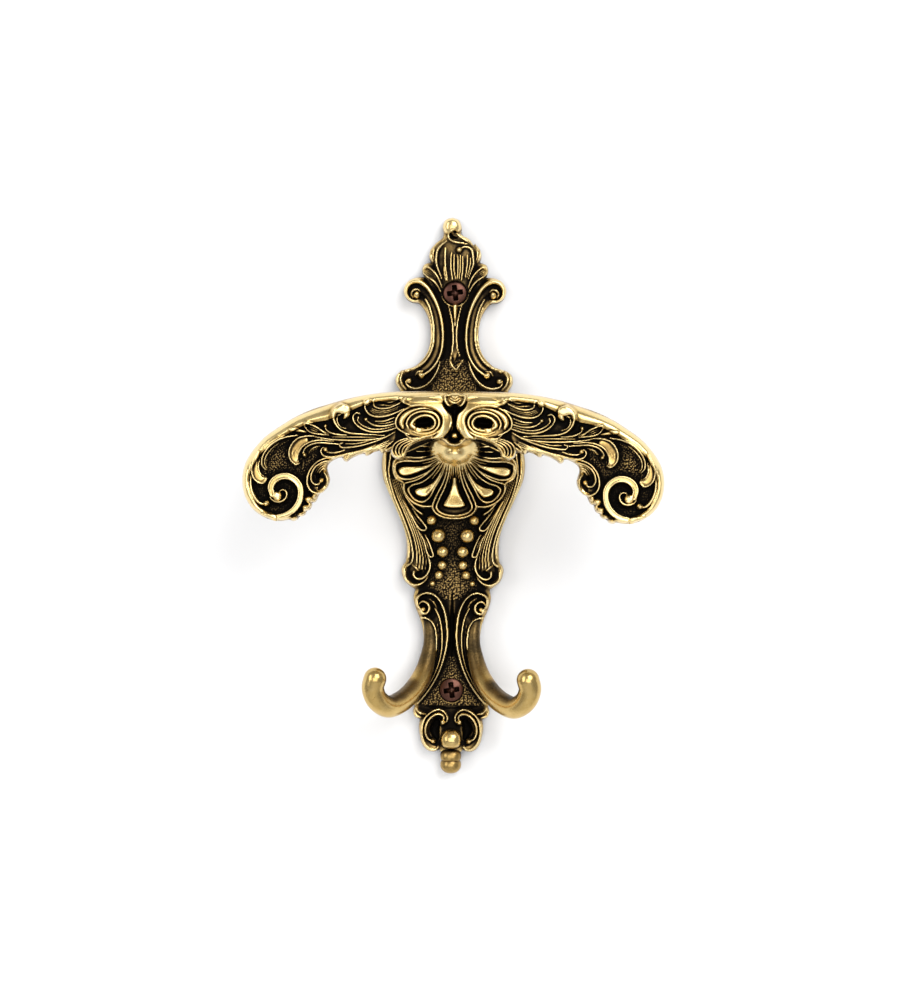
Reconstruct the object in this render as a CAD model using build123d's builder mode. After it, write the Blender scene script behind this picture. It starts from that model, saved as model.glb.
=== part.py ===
"""Ornate cast wall coat hook: a scrolled plate with two lower prongs, and a winged hanger arm.

Frame: millimetres, +X right, +Y into the wall, +Z up. The origin lies on the wall plane,
halfway between the two wall screws, so the front of the hook faces -Y.
"""
from build123d import *
from math import cos, radians, sin
import os

os.makedirs("parts", exist_ok=True)

# Wall screws
screw_spacing = 132.0
screw_head_d = 8.0
screw_thread_d = 4.0
screw_neck_d = 2.9
screw_length_in_wall = 26.0
screw_point_length = 4.0
thread_start = 0.3
screw_dome = 0.9
screw_seat_gap = 0.1
screw_hole_clearance = 0.4
seat_clearance = 0.15
cross_span = 4.6
cross_width = 1.2
cross_depth = 1.6

# Wall plate: thickness, and half widths with the heights at which they lie
ground_depth = 5.6
scroll_height = 1.9
rim_width = 2.6
recess_depth = 3.6
crest_z = 84.0
crown_half = 17.0
crown_z = 66.8
neck_half = 8.0
neck_z = 52.0
collar_half = 19.3
collar_z = 37.0
belly_half = 23.7
belly_z = 11.0
waist_half = 15.3
waist_z = -20.0
cuff_half = 16.8
cuff_z = -27.0
shin_half = 9.5
shin_z = -49.5
ankle_half = 14.0
ankle_z = -65.5
foot_half = 10.6
foot_z = -79.0
foot_bottom_z = -86.4
knob_d = 5.8
knob_x = -1.1
knob_z = 88.0

# Beads of the foot, as diameter and height
foot_bead_d = 6.9
foot_bead_z = -82.0
drop_bead_d = 6.2
drop_bead_z = -87.7
tip_bead_d = 5.4
tip_bead_z = -91.2

# Lower prongs
prong_d = 7.2
prong_root = (7.2, -6.4, -50.0)
prong_bend = (9.6, -9.0, -61.5)
prong_front = (26.0, -29.5, -66.5)
prong_tip = (25.2, -33.0, -62.0)
prong_tip_d = 7.8

# Hanger arm
bar_back = 45.0
bar_thickness = 8.6
bar_relief = 2.6
bar_edge_bevel = 2.2
bar_top_z = 32.0
wing_half = 67.2
volute_inset = 12.2
shoulder_z = 23.6
volute_z = -9.7
stem_half = 7.0
stem_head_z = 20.0
stem_waist_depth = 14.0
shell_half = 19.0
shell_hinge_z = 9.0
shell_thickness = 2.6
shell_relief = 1.4
shell_rim_width = 1.5
tongue_length = 11.0

# Screw and pins between arm and plate
arm_screw_z = 10.0
arm_screw_d = 5.0
arm_screw_head_d = 9.0
arm_screw_head_height = 2.6
arm_screw_reach = 7.0
thread_clearance = 0.1
hole_run_out = 1.0
arm_hole_clearance = 0.25
arm_pin_d = 3.0
arm_pin_offset = 8.0
arm_pin_clearance = 0.15

upper_z = screw_spacing / 2
screw_sites = [(0, upper_z), (0, -upper_z)]
head_r = screw_head_d / 2
hole_r = (screw_thread_d + screw_hole_clearance) / 2
web = ground_depth - recess_depth
volute_x = wing_half - volute_inset
neck_top = (12, crown_z - 4.3)
neck_waist = (neck_half, neck_z)
collar_top = (17, 40.3)
heel = (11.8, -71.5)
wing_root = (volute_x - 19, 10.2)

# Sections of the stem, as depth from the wall, height, half width and half height
stem_waist_z = shell_hinge_z + 3.5
stem_stations = [
    (ground_depth, shell_hinge_z - 3, stem_half * 2, 9.5),
    (stem_waist_depth, stem_waist_z, stem_half + 1.5, stem_half),
    ((stem_waist_depth + bar_back) / 2, (stem_waist_z + stem_head_z) / 2, stem_half, stem_half - 0.8),
    (bar_back + 2, stem_head_z, stem_half, stem_half + 0.5),
]


def ribbon(points, width):
    """A raised band of one width along a smooth curve, in the sketch that is open."""
    with BuildLine() as course:
        Spline(*points)
    trace(course.line, line_width=width)


def dots(places):
    """Round ends and beads, each given as x, z and radius, in the sketch that is open."""
    for x, z, radius in places:
        with Locations((x, z)):
            Circle(radius)


def pearls(places, depth):
    """Balls let into the surface at one depth, on both sides of the middle."""
    for x, z, radius in places:
        with Locations((x, -depth, z), (-x, -depth, z)):
            Sphere(radius)


# Wall plate, one casting with its ornament and both lower prongs
with BuildPart() as backplate:
    with BuildSketch(Plane.XZ):
        with BuildLine():
            Line((0, crest_z), (5.2, crest_z - 0.8))
            ThreePointArc((5.2, crest_z - 0.8), (8.6, 79.6), (8.2, 76.2))
            ThreePointArc((8.2, 76.2), (10.9, 73.8), (10.3, 71.2))
            Spline((10.3, 71.2), (14.2, crown_z + 4), (crown_half, crown_z), (14.6, crown_z - 3.7), neck_top)
            Spline(neck_top, (neck_half + 0.8, 58), neck_waist, (neck_half + 1, 46.5), (12.3, 42), collar_top)
            Spline(collar_top, (collar_half, collar_z), (18.2, 33.4))
            Spline((18.2, 33.4), (belly_half, belly_z), (20, -4), (waist_half, waist_z), (15.6, -24))
            Spline((15.6, -24), (cuff_half, cuff_z), (15.2, -30.5), (12.5, -33))
            Spline((12.5, -33), (12, -39), (shin_half, shin_z), (11, -58), (ankle_half, ankle_z), heel)
            ThreePointArc(heel, (12.6, -73.9), (10.5, -75.7))
            Spline((10.5, -75.7), (foot_half, foot_z), (9.2, -84), (5, foot_bottom_z))
            Line((5, foot_bottom_z), (0, foot_bottom_z))
            mirror(about=Plane.YZ)
        make_face()
    extrude(amount=ground_depth)
    with BuildSketch(Plane.XZ):
        with Locations((knob_x, knob_z)):
            Circle(knob_d / 2)
        with BuildLine():
            Polyline(
                (-5, crest_z - 2),
                (knob_x - knob_d / 2, knob_z),
                (knob_x + knob_d / 2, knob_z),
                (4, crest_z - 1),
                close=True,
            )
        make_face()
    extrude(amount=ground_depth)

    # Open back, closed round both screws
    with BuildSketch(Plane.XZ):
        with BuildLine():
            Spline(
                (0, 59),
                (neck_half - rim_width, neck_z),
                (collar_half - rim_width - 2, 34),
                (belly_half - rim_width, belly_z),
                (waist_half - rim_width, waist_z),
                (waist_half - rim_width, -27),
                (shin_half - rim_width, shin_z + 3),
                (0, -58),
            )
            mirror(about=Plane.YZ)
        make_face()
    extrude(amount=recess_depth, mode=Mode.SUBTRACT)

    # Broad scrolls and leaves
    with BuildSketch(Plane.XZ.offset(ground_depth)):
        ribbon([(16.3, 66), (14.5, 69.8), (10.5, 69), (6.5, 63.5), (3.7, 53), (6, 42.5), (10.7, 38.3)], 2.4)
        ribbon([(15.2, 36.5), (12.8, 33.8), (9, 35), (6, 39)], 1.8)
        ribbon([(9.7, 75), (6.5, 72.5), (4.2, 69)], 1.6)
        ribbon([(6, 80.2), (6.1, 75.5), (4, 68.5)], 1.6)
        ribbon([(20, -2), (17.5, -8), (13.5, -18), (13.8, -24)], 1.8)
        ribbon([(16.5, -5), (11.5, -12.3), (8.9, -12.5)], 1.8)
        ribbon([(11.5, -13), (8.5, -20.5), (6.2, -21.5)], 1.8)
        ribbon([(7.8, -22), (8, -27.5), (13, -27.3)], 1.6)
        ribbon([(8.4, -39.6), (11.6, -37), (8.8, -33.9), (4, -37), (1.6, -48), (4.6, -61)], 1.7)
        ribbon([(2.9, -76.6), (4.5, -73.8), (8.2, -77), (5.8, -82.7)], 1.5)
        dots([(13.3, 65.3, 1.7), (15.2, 36.5, 1.4), (9, -38.7, 1.9), (5.8, -82.7, 1.2)])
        mirror(about=Plane.YZ)
    extrude(amount=scroll_height)

    # Centre leaf, finial flutes and knob curl
    with BuildSketch(Plane.XZ.offset(ground_depth)):
        with BuildLine():
            Polyline((-1.6, 61), (0, 42), (1.6, 61), close=True)
        make_face()
        ribbon([(-2.3, 86.6), (-1.5, 84.5), (1.5, 82.7), (3.2, 82.6)], 1.2)
        for flute_x in (-2.6, 0.0, 2.6):
            ribbon([(flute_x, 79.5), (flute_x * 0.8, 71.5)], 0.9)
    extrude(amount=scroll_height / 2)

    # Pearl strands and foot beads
    pearls(
        [(6.9, -9.5, 1.5), (4.6, -14.5, 2.2), (2.9, -19.7, 1.8), (3.1, -24.2, 1.4)],
        ground_depth + 0.4,
    )
    with Locations((0, -ground_depth, foot_bead_z)):
        Sphere(foot_bead_d / 2)
    with Locations((0, -drop_bead_d / 2 - 0.2, drop_bead_z)):
        Sphere(drop_bead_d / 2)
    with Locations((0, -drop_bead_d / 2 - 0.2, tip_bead_z)):
        Sphere(tip_bead_d / 2)

    # Lower prongs
    for side in (1, -1):
        root = Vector(side * prong_root[0], prong_root[1], prong_root[2])
        bend = Vector(side * prong_bend[0], prong_bend[1], prong_bend[2])
        front = Vector(side * prong_front[0], prong_front[1], prong_front[2])
        tip = Vector(side * prong_tip[0], prong_tip[1], prong_tip[2])
        with BuildLine() as prong_path:
            run = Line(root, bend)
            bow = TangentArc(bend, front, tangent=run % 1)
            TangentArc(front, tip, tangent=bow % 1)
        for stretch in prong_path.edges():
            with BuildSketch(Plane(origin=stretch @ 0, z_dir=stretch % 0)):
                Circle(prong_d / 2)
            sweep(path=stretch)
        with Locations(root):
            Sphere(prong_d / 2)
        with Locations(tip):
            Sphere(prong_tip_d / 2)

    # Wall screw seats, and the holes for the arm's screw and pins
    with Locations(Plane.XZ.offset(ground_depth)):
        with Locations(*screw_sites):
            CounterSinkHole(hole_r, head_r + seat_clearance, counter_sink_angle=90)
    with BuildSketch(Plane.XZ):
        with Locations((0, arm_screw_z)):
            Circle(arm_screw_d / 2 + arm_hole_clearance)
        with Locations((arm_pin_offset, arm_screw_z), (-arm_pin_offset, arm_screw_z)):
            Circle(arm_pin_d / 2 + arm_pin_clearance)
    extrude(amount=ground_depth, mode=Mode.SUBTRACT)

backplate.part.label = "backplate"
export_step(backplate.part, "parts/backplate.step")
print("backplate", backplate.part.is_valid, len(backplate.part.solids()), round(backplate.part.volume))

# Hanger arm, one casting: crossbar with both wings, stem, and the shell that is its foot
with BuildPart() as hanger_arm:
    with BuildSketch(Plane.XZ.offset(bar_back)):
        with BuildLine():
            Spline(
                (0, bar_top_z),
                (20, bar_top_z - 0.4),
                (35, bar_top_z - 3),
                (volute_x - 5, shoulder_z),
                (volute_x + 5, shoulder_z - 6.6),
                (wing_half - 1.4, 9),
                (wing_half, 3),
                (wing_half - 1.5, -4),
                (volute_x + 6, volute_z + 1.4),
                (volute_x, volute_z),
                tangents=[(1, 0), (-1, 0)],
            )
            Spline(
                (volute_x, volute_z),
                (volute_x - 5.5, volute_z + 1.2),
                (volute_x - 10, -5),
                (volute_x - 13, -1),
                (volute_x - 15.6, 3.5),
            )
            Spline((volute_x - 15.6, 3.5), (volute_x - 14.8, 6.5), (volute_x - 16.5, 9.3), wing_root)
            Spline(wing_root, (30, 11), (24, 12.2), (20.5, 12.3))
            Spline((20.5, 12.3), (18.8, 10.7), (16.2, 10.3), (14.2, 12.5), (12, 15.6))
            Spline((12, 15.6), (7, 16.6), (3, 15.6), (0, 14.3))
            mirror(about=Plane.YZ)
        make_face()
    extrude(amount=bar_thickness)
    top_edges = hanger_arm.edges().filter_by(lambda edge: edge.length > wing_half)
    chamfer(top_edges, length=bar_edge_bevel)

    # Wing scrolls and leaves
    with BuildSketch(Plane.XZ.offset(bar_back + bar_thickness)):
        ribbon(
            [
                (volute_x + 4.5, -7.4),
                (volute_x - 3, -7.6),
                (volute_x - 6.4, -0.8),
                (volute_x - 1, 4.2),
                (volute_x + 3, -0.4),
                (volute_x + 0.5, -2.6),
            ],
            1.8,
        )
        ribbon([(volute_x - 5, 17.3), (volute_x + 2, 14.8), (volute_x + 4.5, 6.5)], 1.6)
        ribbon([(34, 16.3), (volute_x - 7, 16.6), (volute_x - 3.2, 12.5), (volute_x - 4.5, 8.6)], 1.8)
        ribbon([(33, 27), (37.5, 25.5), (34.5, 18.5), (29, 18.2)], 1.6)
        ribbon([(volute_x - 16, 9.6), (volute_x - 9.4, 5), (volute_x - 12.6, -0.2)], 1.4)
        ribbon([(15.5, 27), (20, 24.8), (28.3, 26.8)], 1.8)
        ribbon([(19, 20.2), (25, 19.2), (31, 24)], 1.6)
        ribbon([(20, 16.6), (29, 14.2), (volute_x - 19, 14)], 1.6)
        ribbon([(13, 17), (18, 15.6), (16.3, 11.4)], 1.4)
        ribbon([(16.7, 19), (15, 25.8), (9, 26.6), (3.8, 22.5), (12, 17.9)], 1.8)
        ribbon([(13.3, 20.8), (9, 23.8), (6, 21), (9.3, 19.9)], 1.2)
        dots([(volute_x + 1, -1.8, 1.7), (34.3, 23, 1.6), (13.3, 20.8, 1.2), (volute_x - 9.8, -2.8, 1.2)])
        mirror(about=Plane.YZ)
        ribbon([(-3.2, 29.2), (0, 25.8), (3.2, 29.2)], 1.3)
        dots([(0, 18, 1.6)])
    extrude(amount=bar_relief)

    # Shell: lobes round its hinge, as turn from straight down, distance and radius
    side_lobes = [(48, 12.4, 5.6), (81, shell_half - 4.6, 4.7)]
    lobes = [(0, 11.5, 6.5)] + side_lobes + [(-turn, reach, radius) for turn, reach, radius in side_lobes]
    lobe_sites = [
        (reach * sin(radians(turn)), shell_hinge_z - reach * cos(radians(turn)), radius, turn)
        for turn, reach, radius in lobes
    ]
    with BuildSketch(Plane.XZ.offset(ground_depth)):
        dots([(x, z, radius) for x, z, radius, turn in lobe_sites])
        dots([(0, shell_hinge_z - 2, 10)])
    extrude(amount=shell_thickness)
    with BuildSketch(Plane.XZ.offset(ground_depth + shell_thickness)):
        dots([(x, z, radius) for x, z, radius, turn in lobe_sites])
        dots([(0, shell_hinge_z - 2, 10)])
        offset(amount=-shell_rim_width, mode=Mode.SUBTRACT)
        for x, z, radius, turn in lobe_sites:
            with Locations((x, z)):
                Ellipse(tongue_length / 2, radius * 0.36, rotation=turn - 90)
    extrude(amount=shell_relief)

    # Stem, from the shell up and forward to the back of the bar
    for depth, z, half_width, half_height in stem_stations:
        with BuildSketch(Plane.XZ.offset(depth)):
            with Locations((0, z)):
                Ellipse(half_width, half_height)
    loft()

    # Tapped hole and pins that seat the arm on the plate
    with BuildSketch(Plane.XZ.offset(ground_depth)):
        with Locations((0, arm_screw_z)):
            Circle(arm_screw_d / 2 + thread_clearance)
    extrude(amount=arm_screw_reach + hole_run_out, mode=Mode.SUBTRACT)
    with BuildSketch(Plane.XZ.offset(ground_depth)):
        with Locations((arm_pin_offset, arm_screw_z), (-arm_pin_offset, arm_screw_z)):
            Circle(arm_pin_d / 2)
    extrude(amount=-web)

hanger_arm.part.label = "hanger_arm"
export_step(hanger_arm.part, "parts/hanger_arm.step")
print("hanger_arm", hanger_arm.part.is_valid, len(hanger_arm.part.solids()), round(hanger_arm.part.volume))


# Wall screws: raised countersunk head, plain neck in the plate, thread as its outer cylinder
head_edge = -(ground_depth - screw_seat_gap)
neck_r = screw_neck_d / 2
thread_r = screw_thread_d / 2
for screw_name, screw_z in (("upper_wall_screw", upper_z), ("lower_wall_screw", -upper_z)):
    with BuildPart() as wall_screw:
        with BuildSketch(Plane.XY.offset(screw_z)):
            with BuildLine():
                dome = SagittaArc((head_r, head_edge), (0, head_edge - screw_dome), head_r * 0.08)
                Polyline(
                    dome @ 1,
                    (0, screw_length_in_wall),
                    (thread_r, screw_length_in_wall - screw_point_length),
                    (thread_r, thread_start),
                    (neck_r, thread_start),
                    (neck_r, head_edge + head_r - neck_r),
                    dome @ 0,
                )
            make_face()
        revolve(axis=Axis((0, 0, screw_z), (0, 1, 0)))
        with BuildSketch(Plane.XZ.offset(ground_depth + screw_dome + 1)):
            with Locations((0, screw_z)):
                Rectangle(cross_span, cross_width, rotation=45)
                Rectangle(cross_width, cross_span, rotation=45)
        extrude(amount=-(cross_depth + 1), mode=Mode.SUBTRACT)
    wall_screw.part.label = screw_name
    export_step(wall_screw.part, f"parts/{screw_name}.step")
    print(screw_name, wall_screw.part.is_valid, len(wall_screw.part.solids()), round(wall_screw.part.volume))

# Machine screw that holds the arm, put in from behind
with BuildPart() as arm_screw:
    with BuildSketch(Plane.XZ.offset(recess_depth)):
        with Locations((0, arm_screw_z)):
            Circle(arm_screw_head_d / 2)
    extrude(amount=-arm_screw_head_height)
    fillet(arm_screw.edges().sort_by(Axis.Y)[-1], radius=0.8)
    with BuildSketch(Plane.XZ.offset(recess_depth)):
        with Locations((0, arm_screw_z)):
            Circle(arm_screw_d / 2)
    extrude(amount=web + arm_screw_reach)
    with BuildSketch(Plane.XZ.offset(recess_depth - arm_screw_head_height)):
        with Locations((0, arm_screw_z)):
            Rectangle(cross_span, cross_width)
            Rectangle(cross_width, cross_span)
    extrude(amount=cross_depth, mode=Mode.SUBTRACT)
arm_screw.part.label = "arm_screw"
export_step(arm_screw.part, "parts/arm_screw.step")
print("arm_screw", arm_screw.part.is_valid, len(arm_screw.part.solids()), round(arm_screw.part.volume))
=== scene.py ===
"""Looks of the ornate coat hook: carved relief of both castings, screws, wall, light and camera.

Shapes are worked out in millimetres in the row frame (+X right, +Y into the wall, +Z up) and
scaled to metres when a mesh is made. Fronts face -Y, so a height is a distance along -Y.
"""

import math

import bmesh
import bpy
import numpy as np
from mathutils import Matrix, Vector, geometry, kdtree


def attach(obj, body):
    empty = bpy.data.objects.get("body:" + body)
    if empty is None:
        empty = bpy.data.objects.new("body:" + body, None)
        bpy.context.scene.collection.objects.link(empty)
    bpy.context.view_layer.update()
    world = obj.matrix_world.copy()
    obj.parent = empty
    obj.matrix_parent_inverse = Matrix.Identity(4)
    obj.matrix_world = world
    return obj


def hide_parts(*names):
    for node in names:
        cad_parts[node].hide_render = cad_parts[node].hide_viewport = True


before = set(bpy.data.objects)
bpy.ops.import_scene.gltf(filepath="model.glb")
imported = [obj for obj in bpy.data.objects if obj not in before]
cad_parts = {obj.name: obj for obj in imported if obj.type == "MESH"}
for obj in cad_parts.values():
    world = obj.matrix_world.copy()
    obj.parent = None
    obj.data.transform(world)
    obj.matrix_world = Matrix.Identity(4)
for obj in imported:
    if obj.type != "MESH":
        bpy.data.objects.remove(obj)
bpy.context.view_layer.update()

MM = 0.001
rng = np.random.default_rng(7)

# Main sizes in millimetres, as in the solids
SCREW_Z = 66.0
SCREW_HEAD_R = 4.0
PLATE_GROUND = 5.6
PLATE_EDGE = 3.8
RECESS_DEPTH = 3.6
BAR_MIDDLE = 49.3
BAR_BACK = 45.0
BAR_GROUND = 53.4
BAR_RELIEF_TOP = 56.2
BAR_SEAM = BAR_MIDDLE - 0.02
SHELL_X = 0.4
KEYSTONE_X = 0.3
STEM_RUBBED = 1.05
SCREW_SEAT = 0.9
ARM_SCREW_Z = 10.0
ARM_SCREW_HEAD_R = 4.45

# A rib stands on a foot of its own, so much lower and so much rubbed
FOOT_RISE = 0.42
FOOT_TONE = 0.15
VEIN_FOOT = 0.9
PLAIN_RUB = 0.36


# Curves and distances

def places(points):
    """Points as they are, or read from a text such as "x z, x z" or "x z width, x z width"."""
    if isinstance(points, str):
        return [tuple(float(n) for n in place.split()) for place in points.split(",")]
    return points


def smooth(points, step=0.3, closed=False):
    """A centripetal Catmull-Rom curve through the points, sampled about every step."""
    p = np.asarray(places(points), float)
    if len(p) == 2 and not closed:
        count = max(2, int(np.ceil(np.linalg.norm(p[1] - p[0]) / step)) + 1)
        return p[0] + (p[1] - p[0]) * np.linspace(0, 1, count)[:, None]
    if closed:
        p = np.vstack([p[-1:], p, p[:2]])
    else:
        p = np.vstack([2 * p[0] - p[1], p, 2 * p[-1] - p[-2]])
    out = []
    for a, b, c, d in zip(p, p[1:], p[2:], p[3:]):
        ta = 0.0
        tb = ta + np.linalg.norm(b - a) ** 0.5 + 1e-6
        tc = tb + np.linalg.norm(c - b) ** 0.5 + 1e-6
        td = tc + np.linalg.norm(d - c) ** 0.5 + 1e-6
        count = max(2, int(np.ceil(np.linalg.norm(c - b) / step)))
        t = np.linspace(tb, tc, count, endpoint=False)[:, None]
        ab = a + (b - a) * (t - ta) / (tb - ta)
        bc = b + (c - b) * (t - tb) / (tc - tb)
        cd = c + (d - c) * (t - tc) / (td - tc)
        abc = ab + (bc - ab) * (t - ta) / (tc - ta)
        bcd = bc + (cd - bc) * (t - tb) / (td - tb)
        out.append(abc + (bcd - abc) * (t - tb) / (tc - tb))
    if not closed:
        out.append(p[-2:-1])
    return np.vstack(out)


def mirrored(points):
    """The same points on the other side of the middle."""
    return [(-p[0], *p[1:]) for p in places(points)]


def shifted(points, middle):
    """The same points moved sideways."""
    return [(p[0] + middle, *p[1:]) for p in places(points)]


def reach_along(line):
    """Distance along the line to each of its points, from 0 to 1."""
    steps = np.linalg.norm(np.diff(line[:, :2], axis=0), axis=1)
    reach = np.concatenate([[0], np.cumsum(steps)])
    return reach / reach[-1]


def between(first, last, t, count=20):
    """A line partly on the way from one guide line to another."""
    even = np.linspace(0, 1, count)
    ends = []
    for guide in (first, last):
        line = smooth(guide, 0.4)
        reach = reach_along(line)
        ends.append(np.column_stack([np.interp(even, reach, line[:, k]) for k in (0, 1)]))
    return ends[0] * (1 - t) + ends[1] * t


def enclosed(points, outline):
    """Which points lie inside a closed outline."""
    ahead = np.roll(outline, -1, axis=0)
    odd = np.zeros(len(points), bool)
    x, z = points[:, 0], points[:, 1]
    for (ax, az), (bx, bz) in zip(outline, ahead):
        if az != bz:
            crossing = (az > z) != (bz > z)
            odd ^= crossing & (x < ax + (z - az) / (bz - az) * (bx - ax))
    return odd


def round_edge(t):
    """Quarter round from 0 at the edge to 1 inside."""
    return np.clip(1 - (1 - np.clip(t, 0, 1)) ** 2, 0, 1) ** 0.5


def both_sides(half):
    """A closed outline from its left half, listed from top to bottom."""
    left = np.asarray(places(half), float)
    right = left[::-1] * [-1, 1]
    return np.vstack([left, right])


def step_up(t):
    """Smooth rise from 0 to 1."""
    t = np.clip(t, 0, 1)
    return t * t * (3 - 2 * t)


def along(points, line):
    """For each point: its distance from the line, and its place along the line from 0 to 1."""
    a = line[:-1]
    d = line[1:] - a
    length = np.maximum((d ** 2).sum(1), 1e-12)
    reach = np.concatenate([[0], np.cumsum(length ** 0.5)])
    best = np.full(len(points), 1e9)
    place = np.zeros(len(points))
    for i in range(len(a)):
        t = np.clip(((points - a[i]) @ d[i]) / length[i], 0, 1)
        gap = ((points - (a[i] + t[:, None] * d[i])) ** 2).sum(1)
        better = gap < best
        best[better] = gap[better]
        place[better] = (reach[i] + t[better] * length[i] ** 0.5) / reach[-1]
    return best ** 0.5, place


def inside(outline, xs, zs):
    """Even-odd test of a regular grid against a closed outline."""
    ahead = np.roll(outline, -1, axis=0)
    result = np.zeros((len(zs), len(xs)), bool)
    for row, z in enumerate(zs):
        crossing = (outline[:, 1] > z) != (ahead[:, 1] > z)
        p = outline[crossing]
        q = ahead[crossing]
        hits = np.sort(p[:, 0] + (z - p[:, 1]) / (q[:, 1] - p[:, 1]) * (q[:, 0] - p[:, 0]))
        result[row] = np.searchsorted(hits, xs) % 2 == 1
    return result


def blur(field, sigma):
    """Gaussian blur of a grid, with sigma in cells."""
    reach = int(np.ceil(3 * sigma))
    kernel = np.exp(-0.5 * (np.arange(-reach, reach + 1) / sigma) ** 2)
    kernel /= kernel.sum()
    for axis in (0, 1):
        pad = [(reach, reach) if k == axis else (0, 0) for k in (0, 1)]
        wide = np.pad(field, pad, mode="edge")
        total = np.zeros_like(field)
        for k, weight in enumerate(kernel):
            cut = [slice(None), slice(None)]
            cut[axis] = slice(k, k + field.shape[axis])
            total += weight * wide[tuple(cut)]
        field = total
    return field


# Cross-sections of a stroke, from -1 to 1 across it

def rib_section(u):
    """Round ridge."""
    return np.clip(1 - u * u, 0, 1) ** 0.75


def band_section(u):
    """Flat band with a raised line along both edges."""
    a = np.abs(u)
    return step_up((1 - a) / 0.3) * (0.7 + 0.3 * np.exp(-(((a - 0.66) / 0.2) ** 2)))


SECTIONS = {"rib": rib_section, "band": band_section}


class Relief:
    """A carved surface over a closed outline: a body, ribs on it and cuts in it, on a fine grid."""

    def __init__(self, outline, pitch, rim_wear_and_highlight=0.8, contrast=1.5):
        self.outline = outline
        self.pitch = pitch
        self.rim_wear_and_highlight = rim_wear_and_highlight
        self.contrast = contrast
        low = outline.min(0) - 2 * pitch
        high = outline.max(0) + 2 * pitch
        self.xs = np.arange(low[0], high[0] + pitch, pitch)
        self.zs = np.arange(low[1], high[1] + pitch, pitch)
        self.shape = (len(self.zs), len(self.xs))
        gx, gz = np.meshgrid(self.xs, self.zs)
        self.points = np.column_stack([gx.ravel(), gz.ravel()])
        self.within = inside(outline, self.xs, self.zs).ravel()
        self.snap()
        self.body = np.zeros(len(self.points))
        self.ribs = np.zeros(len(self.points))
        self.cuts = np.zeros(len(self.points))
        self.tone = np.zeros(len(self.points))
        self.drop = np.zeros(len(self.points))

    def snap(self):
        """Moves the grid points just outside the outline onto it, and notes each point's distance from it."""
        tree = kdtree.KDTree(len(self.outline))
        for i, (x, z) in enumerate(self.outline):
            tree.insert((x, z, 0), i)
        tree.balance()
        index = np.array([tree.find((x, z, 0))[1] for x, z in self.points])
        count = len(self.outline)
        best = np.full(len(self.points), 1e9)
        near = np.zeros_like(self.points)
        for turn in (-1, 0):
            a = self.outline[(index + turn) % count]
            d = self.outline[(index + turn + 1) % count] - a
            t = np.clip(((self.points - a) * d).sum(1) / np.maximum((d ** 2).sum(1), 1e-12), 0, 1)
            foot = a + t[:, None] * d
            gap = np.linalg.norm(self.points - foot, axis=1)
            better = gap < best
            best[better] = gap[better]
            near[better] = foot[better]
        self.core = self.within & (best > 0.4 * self.pitch)
        self.edge = np.where(self.core, best, 0.0)
        rim = ~self.core & (best < 1.6 * self.pitch)
        self.points[rim] = near[rim]

    def near(self, low, high, margin):
        """Which grid points lie in a box."""
        p = self.points
        return np.flatnonzero(
            (p[:, 0] > low[0] - margin) & (p[:, 0] < high[0] + margin)
            & (p[:, 1] > low[1] - margin) & (p[:, 1] < high[1] + margin)
        )

    def stroke(self, layer, points, width, rise, section="rib", ends=(1.0, 1.0), mirror=True, tone=0.0,
               wider=0.0):
        """One stroke along a curve, width across and rise high, narrowed towards its ends."""
        for hand in ((1, -1) if mirror else (1,)):
            line = smooth(points if hand == 1 else mirrored(points), 0.4)
            across = (np.full(len(line), width) if line.shape[1] == 2 else line[:, 2]) + wider
            line = line[:, :2]
            pick = self.near(line.min(0), line.max(0), across.max())
            gap, place = along(self.points[pick], line)
            across = np.interp(place, reach_along(line), across)
            slim = np.minimum(1, np.minimum(
                ends[0] + (1 - ends[0]) * place / 0.4, ends[1] + (1 - ends[1]) * (1 - place) / 0.4))
            u = gap / (across / 2 * np.maximum(slim, 0.05))
            height = rise * slim ** 0.7 * SECTIONS[section](np.minimum(u, 1))
            height[u > 1] = 0
            layer[pick] = np.maximum(layer[pick], height)
            if tone:
                self.tone[pick] = np.maximum(self.tone[pick], tone * step_up((1 - u) / 0.5))

    def mound(self, points, width, rise, ends=(1.0, 1.0), mirror=True):
        """Soft swelling of the body under a group of ribs."""
        self.stroke(self.swell, points, width, rise, "rib", ends, mirror=mirror)

    def rib(self, points, width, rise, section="rib", ends=(0.5, 0.5), mirror=True, tone=0.0, foot=1.5):
        """A ridge on a wider, lower foot."""
        self.stroke(self.ribs, points, width, rise, section, ends, mirror, tone)
        if foot:
            self.stroke(self.swell, points, width, FOOT_RISE * rise, "rib", ends, mirror, FOOT_TONE, foot)

    def cut(self, points, width, depth, ends=(0.3, 0.3), mirror=True):
        """A groove."""
        self.stroke(self.cuts, points, width, depth, "rib", ends, mirror=mirror)

    def veins(self, first, last, count, width, rise, ends=(0.5, 0.5), mirror=True):
        """Ribs side by side from one guide line to another."""
        for k in range(count):
            line = between(first, last, k / (count - 1))
            self.rib([tuple(p) for p in line], width, rise, ends=ends, mirror=mirror, foot=VEIN_FOOT)

    def fields(self, points, step, mirror=True, middle=0.0):
        """The grid points inside a closed smooth outline, with their distances from it, on each side."""
        for hand in ((1, -1) if mirror else (1,)):
            line = np.array([(middle + hand * (x - middle), z) for x, z in places(points)], float)
            line = smooth(line, step, closed=True)
            pick = self.near(line.min(0), line.max(0), 0.5)
            pick = pick[enclosed(self.points[pick], line)]
            yield pick, along(self.points[pick], np.vstack([line, line[:1]]))[0]

    def pad(self, points, rise, bevel=0.7, tone=0.3, mirror=True, middle=0.0):
        """A raised field with a rounded edge."""
        for pick, gap in self.fields(points, 0.4, mirror, middle):
            self.ribs[pick] = np.maximum(self.ribs[pick], rise * round_edge(gap / bevel))
            self.tone[pick] = np.maximum(self.tone[pick], tone * step_up(gap / bevel))

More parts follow.
